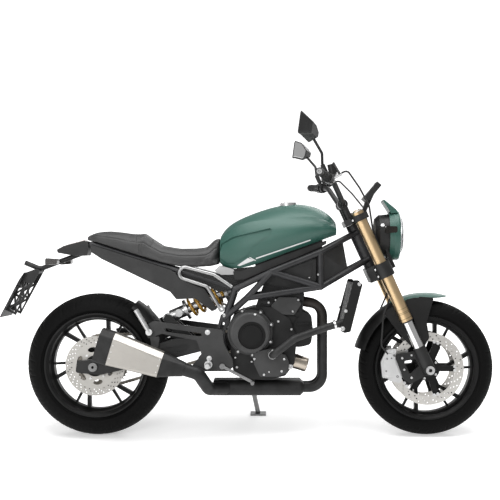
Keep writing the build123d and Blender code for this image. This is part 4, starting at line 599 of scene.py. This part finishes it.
def tread_tyre(name, node, body, axle, radius, width, crown, rim_width, repeats):
    """A tyre of a radius, width and crown radius, on a rim of a width, with repeats of its tread."""
    half, side = rim_width / 2, width / 2
    shoulder = radius - crown + sqrt(max(crown ** 2 - side ** 2, 0))
    reach = asin(min(side / crown, 1))
    tread = [(crown * sin(a), radius - crown + crown * cos(a))
             for a in [reach * (i / 26 - 1) for i in range(53)]]
    wall = []
    for i in range(1, 13):
        share = i / 13
        band_height = 0.9 if i in (3, 4, 9) else 0.0
        wall.append((side + (half + 7 - side) * share + band_height * 0.8,
                     shoulder + (BEAD_RADIUS - shoulder) * share + band_height * 0.4))
    bead = [(half + 7, BEAD_RADIUS), (half - 0.3, BEAD_RADIUS), (half - 0.3, BEAD_SEAT), (half - 14, BEAD_SEAT)]
    rim_side = wall + bead
    profile = [(-y, r) for y, r in reversed(rim_side)] + tread + rim_side
    first = len(rim_side)
    steps = repeats * REPEAT_STEPS
    place = place_in(axle, FORWARD, UP)
    rings = []
    for step in range(steps):
        angle = tau * step / steps
        ring = []
        for index, (y, r) in enumerate(profile):
            if first <= index < first + len(tread):
                r -= groove_depth(step / REPEAT_STEPS % 1, y / side)
            ring.append(place(r * cos(angle), y, r * sin(angle)))
        rings.append(ring)
    made = piece(name, skin(rings, closed=True), tyre_rubber(axle, radius), body, 50)
    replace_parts(made, node)


def tyre_rubber(axle, radius):
    """Rubber with a dusty tread and cleaner walls."""
    def vary(flow):
        dust = off_axle(flow, axle).above(radius - 12, 14) * noise(flow, 40.0).above(0.42, 0.25)
        return varied(flow, (dust, 0.002, (0.006, 0.0058, 0.0055)), noise(flow, 120.0) * 0.2 + 0.6, 1100.0, 0.00008)
    return finish(f"tyre_rubber_{radius}", 0.004, 0.7, vary=vary, shine=0.09)


tread_tyre("front_road_tyre", "front_tyre", "front_wheel", FRONT_AXLE, 300, 120, 60, 89, 29)
tread_tyre("rear_road_tyre", "rear_tyre", "rear_wheel", REAR_AXLE, 315, 180, 92, 140, 27)


# Brake discs: ground stainless steel with rings left by the grinder, darker where the pads run.
# The front pair float on buttons, the rear one is screwed to its hub.
def ground_disc(name, axle, pads_in, pads_out, dark, light):
    """Steel ground in rings about an axle, dulled between the pads' inner and outer radius."""
    def vary(flow):
        out = off_axle(flow, axle)
        rings = noise(flow, 1.0, 3.0, flow.add("CombineXYZ", {0: out * 1.6}))
        swept = out.above(pads_in, 2) * out.below(pads_out, 2)
        bright = tint(flow, rings, dark, light)
        return varied(flow, (swept * 0.25, bright, dark), rings * 0.16 + 0.26, rings, 0.00005)
    return finish(name, light, 0.34, 1.0, vary=vary)


dress(ground_disc("front_disc_steel", FRONT_AXLE, 124, 156, (0.56, 0.545, 0.52), (0.72, 0.7, 0.665)), "front_discs")
dress(ground_disc("rear_disc_steel", REAR_AXLE, 98, 127, (0.36, 0.35, 0.33), (0.48, 0.465, 0.44)), "rear_disc")


def ring_of(axle, radius, angles, y, direction, shape):
    """Copies of a small turned shape on a circle about an axle."""
    place = place_in(axle, FORWARD, UP)
    return [turned(stand(place(radius * cos(a), y, -radius * sin(a)), direction), shape, 24) for a in angles]


BUTTON = [(7, -4), (7, 0.6), (6.2, 1.4), (3.8, 1.4), (3.4, 0.4)]
HUB_SCREW = [(5.5, -3), (5.5, 3.4), (4.8, 4.2), (3.2, 4.2, 6), (3, 1.6, 6)]
BUTTON_REACH, HUB_REACH, REAR_REACH = 120.5, 45, 57
FRONT_FACE, REAR_FACE = 65, -98.5
button_angles = [radians(72 * arm + offset) for arm in range(5) for offset in (-4, 4)]
hub_angles = [radians(72 * arm + 36) for arm in range(5)]
rear_angles = [radians(60 * i + 50) for i in range(6)]
buttons = []
for reach, angles, shape in ((BUTTON_REACH, button_angles, BUTTON), (HUB_REACH, hub_angles, HUB_SCREW)):
    for side in (-1, 1):
        buttons += ring_of(FRONT_AXLE, reach, angles, side * FRONT_FACE, LEFT * side, shape)
piece("front_disc_buttons", buttons, zinc, "front_wheel")
hub_screws = ring_of(REAR_AXLE, REAR_REACH, rear_angles, REAR_FACE, -LEFT, HUB_SCREW)
piece("rear_disc_screws", hub_screws, zinc, "rear_wheel")

# Chain and driven sprocket: rolled and stamped steel with a film of oil. The front axle is bare
# alloy, bright at both ends.
dress(metal("oiled_steel", (0.26, 0.24, 0.21), 0.24, 0.46, 110.0), "chain", "rear_sprocket")
dress(alloy, "front_axle")

# Fork: gold-anodised outer tubes with faint turning marks, hard-chromed stanchions, and cast feet
# and clamps in satin black. Dark lines of painted shade mark the steps turned in the outer tubes.
# Black dust seals close the tubes, and bright caps their tops.
LEG_Y = 105
GOLD = (0.62, 0.455, 0.265)
TUBE_STEPS = ((247, 1.2), (270, 1.0), (276, 1.0), (292, 0.8))


def turned_gold(flow):
    along = spans(flow, FRONT_AXLE, FORK_UP)[0]
    marks = noise(flow, 1.0, 2.0, flow.add("CombineXYZ", {0: along * 2.2}))
    # Painted shade: the tube is darkened in a thin line at each turned step.
    step_shade = 0.0
    for height, half in TUBE_STEPS:
        step_shade = abs(along - height).below(half, 0.6) + step_shade
    gold = tint(flow, noise(flow, 9.0), tuple(c * 0.9 for c in GOLD), GOLD)
    return varied(flow, (step_shade, gold, tuple(c * 0.3 for c in GOLD)), marks * 0.1 + 0.28, marks, 0.00003)


dress(finish("gold_anodised", GOLD, 0.3, 1.0, vary=turned_gold), "fork_tubes")
dress(metal("chrome", 0.8, 0.05, 0.14), "fork_stanchions")
dress(swing_paint, "fork_feet", "triple_clamps")
SEAL = [(23.2, -7), (25.5, -6), (27.6, -1), (27.6, -0.3), (23.2, -0.3)]
CAP = [(23, -1), (23, 3), (21.5, 4.5), (13, 4.5), (13, 9, 6), (11.5, 10, 6), (5, 10), (4.5, 7.5)]
SEAL_HEIGHT, CAP_HEIGHT = 235, 757
CLAMP_BACK, CLAMP_SCREW_HEIGHTS, CLAMP_SCREW_ASIDE = -34, (730, 462, 494), 16


def on_legs(height):
    """A frame on each fork leg's axis at a height."""
    return [stand(on_fork(0, side * LEG_Y, height), FORK_UP) for side in (-1, 1)]


piece("fork_seals", [hoop(leg, SEAL) for leg in on_legs(SEAL_HEIGHT)], hose_rubber, "steering")
piece("fork_caps", [turned(leg, CAP, 36) for leg in on_legs(CAP_HEIGHT)], alloy, "steering")
pinch = [screw(on_fork(CLAMP_BACK, side * (LEG_Y + CLAMP_SCREW_ASIDE), z), -FORK_FORWARD, 5)
         for z in CLAMP_SCREW_HEIGHTS for side in (-1, 1)]
piece("clamp_screws", pinch, zinc, "steering")

# Front calipers: machined alloy blocks, clear anodised, screwed to the feet with two long screws
# each. Small screws close the pistons' cross drillings.
caliper_alloy = metal("caliper_alloy", 0.68, 0.3, 0.46)
dress(caliper_alloy, "front_calipers")
CALIPER_BODY = [(-118, -50), (-146, 42), (-140, 92), (-184, 86), (-210, 32), (-203, -38)]
CALIPER_BRIDGE = [(-154, -34), (-166, 44), (-158, 72), (-180, 68), (-199, 28), (-193, -28)]
CALIPER_IN, CALIPER_OUT, BRIDGE_OUT = 71, 88, 93
CALIPER_SCREWS = ((-150, 60, 5.5), (-136, -32, 5.5), (-182, 46, 4), (-186, -8, 4))
CALIPER_LAYERS = ((CALIPER_BODY, CALIPER_IN, CALIPER_OUT), (CALIPER_BRIDGE, CALIPER_OUT - 2, BRIDGE_OUT))
bodies, body_screws = [], []
for side in (-1, 1):
    for outline, low, high in CALIPER_LAYERS:
        bodies.append(slab(outline, *sorted((side * low, side * high)), by_hub, 9.0, 2.0))
    for x, z, radius in CALIPER_SCREWS:
        depth = BRIDGE_OUT if radius < 5 else CALIPER_OUT
        body_screws.append(screw(by_hub(x, side * depth, z), LEFT * side, radius))
piece("caliper_bodies", bodies, caliper_alloy, "steering")
piece("caliper_screws", body_screws, steel_dark, "steering")
FOOT_SCREWS = [(1343, 350, 5), (1352, 300, 4.5), (1384, 265, 5), (1384, 363, 4.5)]
screws("foot_screws", FOOT_SCREWS, ["fork_feet"], "steering")

# Handlebar: a tapered and bent alloy tube in satin black, with a steel screw in each end. Ribbed
# rubber grips are pushed over it.
dress(swing_paint, "handlebar")
BAR_END, BAR_KNEE = (-102, 418, 963), (-48, 185, 915)
GRIP_RADIUS, GRIP_RIBS, RIB_PITCH = 16.2, 15, 6.6


def bar_side(side):
    """The bar's end on one side, and the way in from it."""
    end, knee = [on_fork(x, side * y, z) for x, y, z in (BAR_END, BAR_KNEE)]
    return end, (knee - end).normalized()


grip_outline = [(12.4, 1), (15.5, 1), (17, 2.5), (17, 6)]
for rib in range(GRIP_RIBS):
    base = 9 + rib * RIB_PITCH
    grip_outline += [(GRIP_RADIUS - 0.9, base), (GRIP_RADIUS + 0.5, base + 1.2), (GRIP_RADIUS + 0.5, base + 4.6),
                     (GRIP_RADIUS - 0.9, base + 5.8)]
grip_outline += [(18, 110), (19, 112), (19, 115), (18, 117), (12.4, 117)]
sleeves, weights = [], []
for side in (-1, 1):
    end, inward = bar_side(side)
    sleeves.append(hoop(stand(end, inward), grip_outline, 40))
    weights.append(screw(end - inward * 0.0135, -inward, 6, 11))
grip_rubber = painted("grip_rubber", 0.006, 0.012, 0.6, 0.78, 1500.0, 0.00008, shine=0.25)
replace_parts(piece("grip_sleeves", sleeves, grip_rubber, "steering", 30), "grips")
piece("bar_end_screws", weights, steel_dark, "steering")


# Hand controls: moulded switch housings with cast levers. The right master cylinder is bright,
# its reservoir black. Each switch housing has a rocker and a button.
MASTER_IN, MASTER_OUT, MASTER_TOP = -234, -264, 939


def control_paint(flow):
    left, high = spans(flow, FRONT_AXLE, LEFT, FORK_UP)
    bright = left.below(MASTER_IN, 0.5) * left.above(MASTER_OUT, 0.5) * high.below(MASTER_TOP, 0.5)
    looks = varied(flow, (bright, 0.009, 0.5), noise(flow, 70.0) * 0.16 + 0.36, 1500.0, 0.00006)
    return {**looks, "Metallic": bright}


dress(finish("control_black", 0.01, 0.45, vary=control_paint, shine=0.3), "hand_controls")
plastic = painted("moulded_plastic", 0.008, 0.014, 0.42, 0.58, 1600.0, 0.00008, shine=0.3)
switches = []
for side in (-1, 1):
    end, inward = bar_side(side)
    back = (-FORK_FORWARD - inward * (-FORK_FORWARD).dot(inward)).normalized()
    for along, width, tall in ((128, 7, 4), (144, 5, 3), (154, 3.5, 5)):
        spot = end + inward * (along / 1000) + back * 0.0225
        button = [(width, -2), (width, tall * 0.7), (width * 0.8, tall), (width * 0.3, tall)]
        switches.append(turned(stand(spot, back), button, 16))
piece("switch_buttons", switches, plastic, "steering")


# Mirrors: black moulded shells on steel stalks, with a silvered glass set in each that faces the
# rider.
def raised(outline, cut, middle, wide, tall, out, steps):
    """A shape on a plane: a rounded outline at shares of its size and heights off the plane."""
    corners = rounded(outline, cut)
    return skin([[middle + (wide * (p.x * share) + tall * (p.y * share) + out * lift) / 1000 for p in corners]
                 for share, lift in steps])


MIRROR_OUTLINE = [(85, 50), (80, -42), (42, -46), (-58, -66), (-84, -58), (-88, -22), (-12, 26)]
MIRROR_AT = (923, 400, 1326)
PANE_STEPS = ((0.84, -11.5), (0.84, -12.7), (0.81, -13.3))
panes = []
for side in (-1, 1):
    way = FORWARD * 0.909 + LEFT * (0.38 * side) - UP * 0.171
    outward = FORWARD * -0.386 + LEFT * (0.922 * side)
    outward = (outward - way * outward.dot(way) / way.length_squared).normalized()
    way = way.normalized()
    rise = UP - way * UP.dot(way)
    rise = (rise - outward * rise.dot(outward)).normalized()
    middle = at(MIRROR_AT[0], side * MIRROR_AT[1], MIRROR_AT[2])
    panes.append(raised(MIRROR_OUTLINE, 11, middle, outward, rise, way, PANE_STEPS))
dress(plastic, "mirrors")
piece("mirror_panes", panes, metal("mirror_silver", 0.86, 0.015, 0.04), "steering")

# Dash: a flat moulded case on a bracket over the headlight, with a blank dark display under clear
# glass.
dress(plastic, "dash")
DASH_TILT = radians(64)
dash_out = -FORK_FORWARD * cos(DASH_TILT) + FORK_UP * sin(DASH_TILT)
dash_up = FORK_FORWARD * sin(DASH_TILT) + FORK_UP * cos(DASH_TILT)
dash_face = on_fork(104, 0, 812) + dash_out * 0.013
SCREEN = [(66, 36), (-66, 36), (-66, -36), (66, -36)]
screen = raised(SCREEN, 9, dash_face, LEFT, dash_up, dash_out, ((1, -1), (1, 0.8), (0.97, 1.4)))
dash_glass = painted("dash_glass", 0.006, 0.012, 0.04, 0.1, 20.0, 0.0, Coat_Weight=1.0)
piece("dash_display", screen, dash_glass, "steering")

# Headlight: a moulded bowl with a clear dished lens, over a bright oval reflector that holds two
# projector lenses, one above the other.
dress(plastic, "headlight_shell")
LAMP_X, LAMP_Z, LAMP_WIDE, LAMP_TALL = 1320, 890, 84, 104
DISH = ((-6, 0.12), (-5, 0.5), (2, 0.74), (10, 0.84), (12, 0.84), (10, 0.87), (-6, 0.87))
EYE = [(33, -2), (33, 8), (30, 12), (28, 12), (27, 8), (24, 13), (18, 17), (10, 19.5), (2, 20.4)]
EYE_HEIGHTS = (40, -40)


def oval(x, share, count=64):
    """A ring of places at a share of the lamp's size."""
    angles = [tau * i / count for i in range(count)]
    return [at(x, LAMP_WIDE * share * cos(a), LAMP_Z + LAMP_TALL * share * sin(a)) for a in angles]


dish = skin([oval(LAMP_X + x, share) for x, share in DISH])
piece("lamp_reflector", dish, metal("lamp_reflector", 0.82, 0.08, 0.18), "steering")
eyes = [turned(stand(at(LAMP_X - 5, 0, LAMP_Z + height), FORWARD), EYE, 40) for height in EYE_HEIGHTS]
eye_glass = painted("projector_glass", 0.06, 0.14, 0.03, 0.08, 30.0, 0.0, Coat_Weight=1.0)
piece("lamp_projectors", eyes, eye_glass, "steering")
clear = finish("lens_clear", (0.95, 0.97, 0.98), 0.03, Transmission_Weight=1.0, IOR=1.3,
               vary=lambda flow: {"Roughness": noise(flow, 30.0) * 0.05 + 0.02})
dress(clear, "headlight_lens")
lamp_pods = painted("lamp_pods", (0.008, 0.007, 0.006), (0.016, 0.012, 0.009), 0.16, 0.26, shine=0.35)
dress(lamp_pods, "front_indicators", "rear_indicators")
screws("lamp_screws", [(1262, 932, 5.5, 8)], ["headlight_shell"], "steering")

# Mudguards and guards: moulded black plastic with a fine texture. The front one has broad webs that
# screw to the fork's feet.
guard_plastic = painted("guard_plastic", 0.005, 0.009, 0.36, 0.5, 1600.0, shine=0.25)
dress(guard_plastic, "front_fender", "rear_guards")
screws("fender_screws", [(1428, 402, 4.5), (1404, 470, 4.5)], ["front_fender"], "steering")
FRONT_WEB = [(-52, 104), (-12, 104), (6, 136), (-4, 199), (0, 262), (24, 312), (-60, 314), (-98, 304), (-94, 274),
             (-62, 220), (-46, 150)]
REAR_WEB = [(-78, 102), (-50, 128), (-66, 200), (-104, 298), (-192, 242), (-128, 156)]
WEB_IN, WEB_OUT = 71.8, 76.9
webs = [slab(outline, *sorted((side * WEB_IN, side * WEB_OUT)), by_hub, 6.0, 0.8)
        for outline in (FRONT_WEB, REAR_WEB) for side in (-1, 1)]
piece("fender_webs", webs, guard_plastic, "steering")

# Painted panels: tank, headlight ring and mudguard blade in a dark green with fine metal flake
# under a clear coat. The tank carries a thin pale stripe on each side, and on each side a pale
# triangle that is a painted highlight.
GREEN_DARK, GREEN_LIGHT, FLAKE = (0.0085, 0.053, 0.039), (0.0155, 0.081, 0.061), 0.12
STRIPE = ((704, 786), (941, 866), 2.6)
SECOND = ((676, 791), (703, 777), 1.6)
# A painted highlight: the pale triangle on the tank's side, by the grey nose panel.
HIGHLIGHT_WEDGE = ((622, 756), (669, 788), (699, 779), (632, 753))


def flaked(flow):
    """Flake by flake changes of shade, as a colour and a roughness."""
    flakes = flow.add("TexVoronoi", {"Vector": place_of(flow), "Scale": 2600.0}, out="Color")
    shade = flow.add("SeparateColor", {0: flakes})
    cloud = noise(flow, 7.0)
    return tint(flow, shade * 0.7 + cloud * 0.3, GREEN_DARK, GREEN_LIGHT), shade * 0.08 + 0.48


def edge(flow, start, stop):
    """Distance in millimetres to the left of a line in the side view, and along it."""
    forward, _, up = across(flow)
    run = Vector(stop) - Vector(start)
    way = run.normalized()
    along = (forward - start[0]) * way.x + (up - start[1]) * way.y
    aside = (up - start[1]) * way.x - (forward - start[0]) * way.y
    return aside, along, run.length


def bar(flow, start, stop, half):
    """1 on a straight stripe of a half width in the side view."""
    aside, along, length = edge(flow, start, stop)
    return abs(aside).below(half, 0.5) * along.above(0, 0.5) * along.below(length, 0.5)


def tank_paint(flow):
    colour, roughness = flaked(flow)
    corners = list(zip(HIGHLIGHT_WEDGE, HIGHLIGHT_WEDGE[1:] + HIGHLIGHT_WEDGE[:1]))
    # Painted highlight: the triangle is painted pale, like the stripes.
    highlight_wedge = edge(flow, *corners[0])[0].below(0, 0.6)
    for start, stop in corners[1:]:
        highlight_wedge = highlight_wedge * edge(flow, start, stop)[0].below(0, 0.6)
    stripes_and_highlight = flow.maths("MAXIMUM", highlight_wedge, flow.maths("MAXIMUM", bar(flow, *STRIPE), bar(flow, *SECOND)))
    colour = tint(flow, stripes_and_highlight, colour, 0.62)
    return {"Base Color": colour, "Roughness": roughness, "Metallic": FLAKE - stripes_and_highlight * FLAKE}


def green(name, vary):
    return finish(name, GREEN_DARK, 0.5, FLAKE, vary=vary, Coat_Weight=0.3, Coat_Roughness=0.4)


dress(green("tank_green", tank_paint), "fuel_tank")
panel_green = green("panel_green", lambda flow: dict(zip(("Base Color", "Roughness"), flaked(flow))))
dress(panel_green, "headlight_cowl")

# Mudguard blade: a thin moulded shell in the tank's green, pointed at both ends. It follows the
# crown of the front mudguard and clips to it.
BLADE_MIDDLE, BLADE_REACH, BLADE_HALF = -35, 128, 60
BLADE_LOW, BLADE_THICK, BLADE_ARCH = 330.3, 4.0, 92.5
BLADE_STEPS, BLADE_POWER = 65, 2.5
blade_rings = []
for step in range(BLADE_STEPS):
    x = BLADE_MIDDLE + BLADE_REACH * cos(pi * (step + 0.5) / BLADE_STEPS)
    half = BLADE_HALF * (1 - abs((x - BLADE_MIDDLE) / BLADE_REACH) ** BLADE_POWER) ** (1 / BLADE_POWER)
    sides = [half * (i / 12 - 1) for i in range(25)]
    ring = []
    for thick, row in ((BLADE_THICK, sides), (0.0, sides[::-1])):
        for y in row:
            reach = BLADE_LOW + thick - BLADE_ARCH + sqrt(BLADE_ARCH ** 2 - y ** 2)
            ring.append(by_hub(x, y, sqrt(reach ** 2 - x ** 2)))
    blade_rings.append(ring)
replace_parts(piece("crown_blade", skin(blade_rings), panel_green, "steering"), "fender_blade")

# Filler cap: a machined alloy lid held by a ring of small screws, with a steel key flap across its
# middle.
dress(alloy, "fuel_cap")
LID_X, LID_LOW, LID_SINK, LID_RING = 846, 1012, 3, 30
FLAP = [(16, 7), (-16, 7), (-16, -7), (16, -7)]
lid = max(LID_LOW, *[(v.co - FOOT).dot(UP) * 1000 for v in NODES["fuel_cap"].data.vertices])
lid_up = (UP + FORWARD * -0.07).normalized()
lid_middle = at(LID_X, 0, lid - LID_SINK)
ring = [screw(lid_middle + (FORWARD * cos(a) + LEFT * sin(a)) * (LID_RING / 1000), lid_up, 2.6)
        for a in [tau * i / 6 for i in range(6)]]
flap = raised(FLAP, 5, lid_middle, FORWARD, LEFT, lid_up, ((1, -2), (1, 3), (0.86, 4.4)))
piece("cap_screws", ring, steel_dark, "chassis")
piece("cap_flap", flap, steel_dark, "chassis")

# Side panels: moulded covers in the trellis, the air box and the dark bands under the tank, and
# the long panels under the seat, edged by bright bent tubes. Pale panels close the tank's foot.
panel_plastic = painted("panel_plastic", 0.012, 0.02, 0.4, 0.54, 1600.0, 0.0001, shine=0.3)
dress(panel_plastic, "tail_panels", "side_covers")
dress(plastic, "airbox", "plate_carrier", "tail_light")
dress(painted("panel_grey", 0.3, 0.38, 0.34, 0.46), "nose_panels")
dress(brushed("loop_alloy", 0.38, FORWARD, 0.28, 0.42), "subframe_loops")
PANEL_SPOTS = [(63, 836, 4), (340, 749, 4), (940, 782, 4), (936, 702, 4)]
screws("panel_screws", PANEL_SPOTS, ["tail_panels", "side_covers"])

# Inner covers: thin black sheets clipped inside the frame, one behind each bright loop, drilled
# all over, and one in the trellis's front bay on each side. The drilled holes are painted near black
# as painted shade.
HOLE_PITCH = 9.0
BAY_TOP = [at(983, 140, 814), on_fork(-33, 26, 690)]
BAY_FOOT = [at(985, 140, 663), on_fork(-33, 24, 536)]


def plate(points, thick=2.5):
    """A thin flat plate over an outline of places, on the side that the outline's turn faces."""
    way = Vector()
    for here, after in zip(points, points[1:] + points[:1]):
        way += here.cross(after)
    way = way.normalized() * (thick / 1000)
    return skin([[point - way for point in points], points])


def drilled(flow):
    """Small round holes in slanted rows, as a relief and a painted shade in them."""
    forward, _, up = across(flow)
    across_holes = flow.maths("SINE", (forward + up * 0.5) * (tau / HOLE_PITCH))
    along_holes = flow.maths("SINE", (up - forward * 0.3) * (tau / HOLE_PITCH))
    # Painted shade: the holes are painted near black.
    hole_and_shade = (across_holes + along_holes).above(0.9, 0.25)
    return varied(flow, (hole_and_shade, 0.016, 0.001), noise(flow, 60.0) * 0.14 + 0.46, 1 - hole_and_shade, 0.0008)


def mirrored(points):
    """The same places on the machine's other side."""
    return [point - LEFT * (2 * (point - FOOT).dot(LEFT)) for point in reversed(points)]


LOOP_SHEET_Y = 104
LOOP_SHEET = [(540, 716), (614, 742), (700, 752), (776, 728), (622, 654), (540, 640), (492, 668), (372, 706),
              (386, 744)]
loop_sheet = [at(x, LOOP_SHEET_Y, z) for x, z in LOOP_SHEET]
sheet_black = finish("drilled_sheet", 0.014, 0.5, vary=drilled, shine=0.25)
loop_sheets = [plate(mirrored(loop_sheet)), plate(loop_sheet)]
piece("loop_sheets", loop_sheets, sheet_black, "chassis")
bay = [line[0].lerp(line[1], share)
       for line, share in ((BAY_TOP, 0.03), (BAY_TOP, 0.62), (BAY_FOOT, 0.56), (BAY_FOOT, 0.03))]
piece("bay_sheets", [plate(mirrored(bay)), plate(bay)], panel_plastic, "chassis")

# Seat: moulded foam under stretched textured vinyl, on two levels with a ridge between them. It
# is sewn from a top and side bands, with double rows of thread along the seams.
SEAT_STATIONS = [
    # x, bottom z, half width, half width of the top, top z
    (-48, 866, 58, 40, 885), (0, 856, 78, 70, 904), (55, 839, 88, 82, 903), (110, 822, 96, 92, 898),
    (150, 810, 101, 98, 892), (186, 799, 104, 102, 890), (210, 792, 106, 104, 894), (234, 784, 107, 105, 874),
    (290, 767, 110, 108, 838), (365, 750, 110, 110, 826), (440, 747, 107, 106, 827), (486, 749, 102, 98, 833),
    (502, 751, 98, 90, 848), (520, 756, 92, 78, 872), (540, 760, 84, 62, 882),
]
PAD_STATIONS = range(-46, 539, 4)
SEAM_SHARE = 0.62
CROSS_SEAMS = (176, 246)
SIDE_SEAMS = (192, 201)
VOXEL = 0.005
SWELL_LIMIT = 0.006
PRESSURE, CLOTH_STEPS = 4, 20
SEAM_DEPTH, SEAM_HALF = 2.4, 4.5
THREAD = [(0.2, 0), (0.6, 0.7), (0.6, 3.7), (0.2, 4.4)]
THREAD_PITCH, THREAD_ROWS = 7, (-5.5, 5.5)
THREAD_FROM, THREAD_COUNT, CROSS_COUNT = -22, 78, 12


def seat_at(x):
    """Bottom, half widths and top of the seat at a place along it."""
    for low, high in zip(SEAT_STATIONS, SEAT_STATIONS[1:]):
        if x <= high[0] or high is SEAT_STATIONS[-1]:
            share = (x - low[0]) / (high[0] - low[0])
            return [a + (b - a) * share for a, b in zip(low[1:], high[1:])]


def settle(made):
    """Puts a piece's modifiers into its mesh."""
    shown = made.evaluated_get(bpy.context.evaluated_depsgraph_get())
    mesh = bpy.data.meshes.new_from_object(shown)
    made.modifiers.clear()
    made.data = mesh


def seat_ring(x):
    """Section of the pad: flat base, bowed sides and a soft crown, a little inside the cover's size."""
    low, foot, crown, top = seat_at(x)
    side = [(foot - 3, 0.0), (crown + 2, 0.25), (crown + 3, 0.45), (crown * 0.96, 0.7), (crown * 0.86, 0.88),
            (crown * 0.5, 0.97), (0, 0.99)]
    half = [at(x, y, low + 2 + (top - low - 2) * share) for y, share in side]
    return half + mirrored(half[:-1])


pad = form("seat_pad", *skin([seat_ring(x) for x in PAD_STATIONS]))
voxels = pad.modifiers.new("voxels", "REMESH")
voxels.mode, voxels.voxel_size = "VOXEL", VOXEL
even = pad.modifiers.new("even", "SMOOTH")
even.factor, even.iterations = 0.5, 12
settle(pad)
flat = [v.co.copy() for v in pad.data.vertices]
held = pad.vertex_groups.new(name="held")
held.add([v.index for v in pad.data.vertices if v.normal.dot(UP) < -0.6], 1.0, "REPLACE")
cloth = pad.modifiers.new("cloth", "CLOTH")
cloth.settings.use_pressure = True
cloth.settings.uniform_pressure_force = PRESSURE
cloth.settings.vertex_group_mass = "held"
cloth.settings.effector_weights.gravity = 0
for step in range(1, CLOTH_STEPS + 1):
    scene.frame_set(step)
settle(pad)
scene.frame_set(1)
for vertex, start in zip(pad.data.vertices, flat):
    moved = vertex.co - start
    if moved.length > SWELL_LIMIT:
        vertex.co = start + moved.normalized() * SWELL_LIMIT
pad.modifiers.new("finer", "SUBSURF").levels = 1
settle(pad)


def seam_depth(x, y, z, facing):
    """How far a place on the seat is drawn in by the seams near it, in millimetres."""
    low, half, _, top = seat_at(x)
    share = (z - low) / (top - low)
    gaps = [abs(share - SEAM_SHARE) * (top - low)] if abs(y) > half * 0.7 and -30 < x < 530 else []
    if share > SEAM_SHARE - 0.05:
        gaps += [abs(x - seam) for seam in CROSS_SEAMS]
    elif abs(facing) > 0.5:
        gaps += [abs(x - seam) for seam in SIDE_SEAMS]
    gap = min(gaps, default=9)
    return SEAM_DEPTH * max(0, 1 - (gap / SEAM_HALF) ** 2) ** 2


drawn = []
for vertex in pad.data.vertices:
    spot = vertex.co - FOOT
    x, y, z = [spot.dot(way) * 1000 for way in (FORWARD, LEFT, UP)]
    depth = seam_depth(x, y, z, vertex.normal.dot(LEFT)) if vertex.normal.dot(UP) > -0.5 else 0
    drawn.append(vertex.co - vertex.normal * (depth / 1000))
for vertex, place in zip(pad.data.vertices, drawn):
    vertex.co = place
pad.data.shade_smooth()


def vinyl(flow):
    cells = flow.add("TexVoronoi", {"Vector": place_of(flow), "Scale": 620.0}, out="Distance")
    cloud = noise(flow, 10.0).above(0.5, 0.2)
    return varied(flow, (cloud, 0.018, 0.028), noise(flow, 50.0) * 0.14 + 0.48, cells, 0.00028)


pad.data.materials.clear()
pad.data.materials.append(finish("seat_vinyl", 0.032, 0.54, vary=vinyl))
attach(pad, "chassis")
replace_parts(pad, "seat")

pad_tree = tree_of(pad.data)


def stitch(start, way, run):
    """One stitch of thread, half sunk, where a line from a place meets the seat."""
    spot, normal, *_ = pad_tree.ray_cast(start, way)
    if spot is None:
        return None
    run = (run - normal * run.dot(normal)).normalized()
    made = stand(spot + normal * 0.0002 - run * 0.0022, run)
    return turned(made, THREAD, 6)


threads = []
for step in range(THREAD_COUNT):
    x = THREAD_FROM + step * THREAD_PITCH
    low, half, _, top = seat_at(x)
    for side in (-1, 1):
        for offset in THREAD_ROWS:
            place = at(x, side * (half + 40), low + (top - low) * SEAM_SHARE + offset)
            threads.append(stitch(place, -LEFT * side, FORWARD))
for seam in CROSS_SEAMS:
    for offset in THREAD_ROWS:
        for step in range(-CROSS_COUNT, CROSS_COUNT + 1):
            threads.append(stitch(at(seam + offset, step * THREAD_PITCH, 1000), -UP, LEFT))
thread = painted("seat_thread", 0.05, 0.075, 0.62, 0.78, 3000.0, 0.00004)
piece("seat_stitching", [made for made in threads if made], thread, "chassis")


# Tail lamp: a pale, faintly red moulded lens, ribbed inside, that clips into the tail's black
# housing.
def ribbed_lens(flow):
    forward, _, _ = across(flow)
    ribs = flow.maths("SINE", forward * 1.1)
    return varied(flow, (ribs * 0.5 + 0.5, (0.42, 0.3, 0.29), (0.62, 0.55, 0.54)),
                  noise(flow, 60.0) * 0.06 + 0.08, ribs, 0.0002)


dress(finish("lens_red", (0.5, 0.42, 0.41), 0.1, vary=ribbed_lens, Coat_Weight=1.0), "tail_lens")
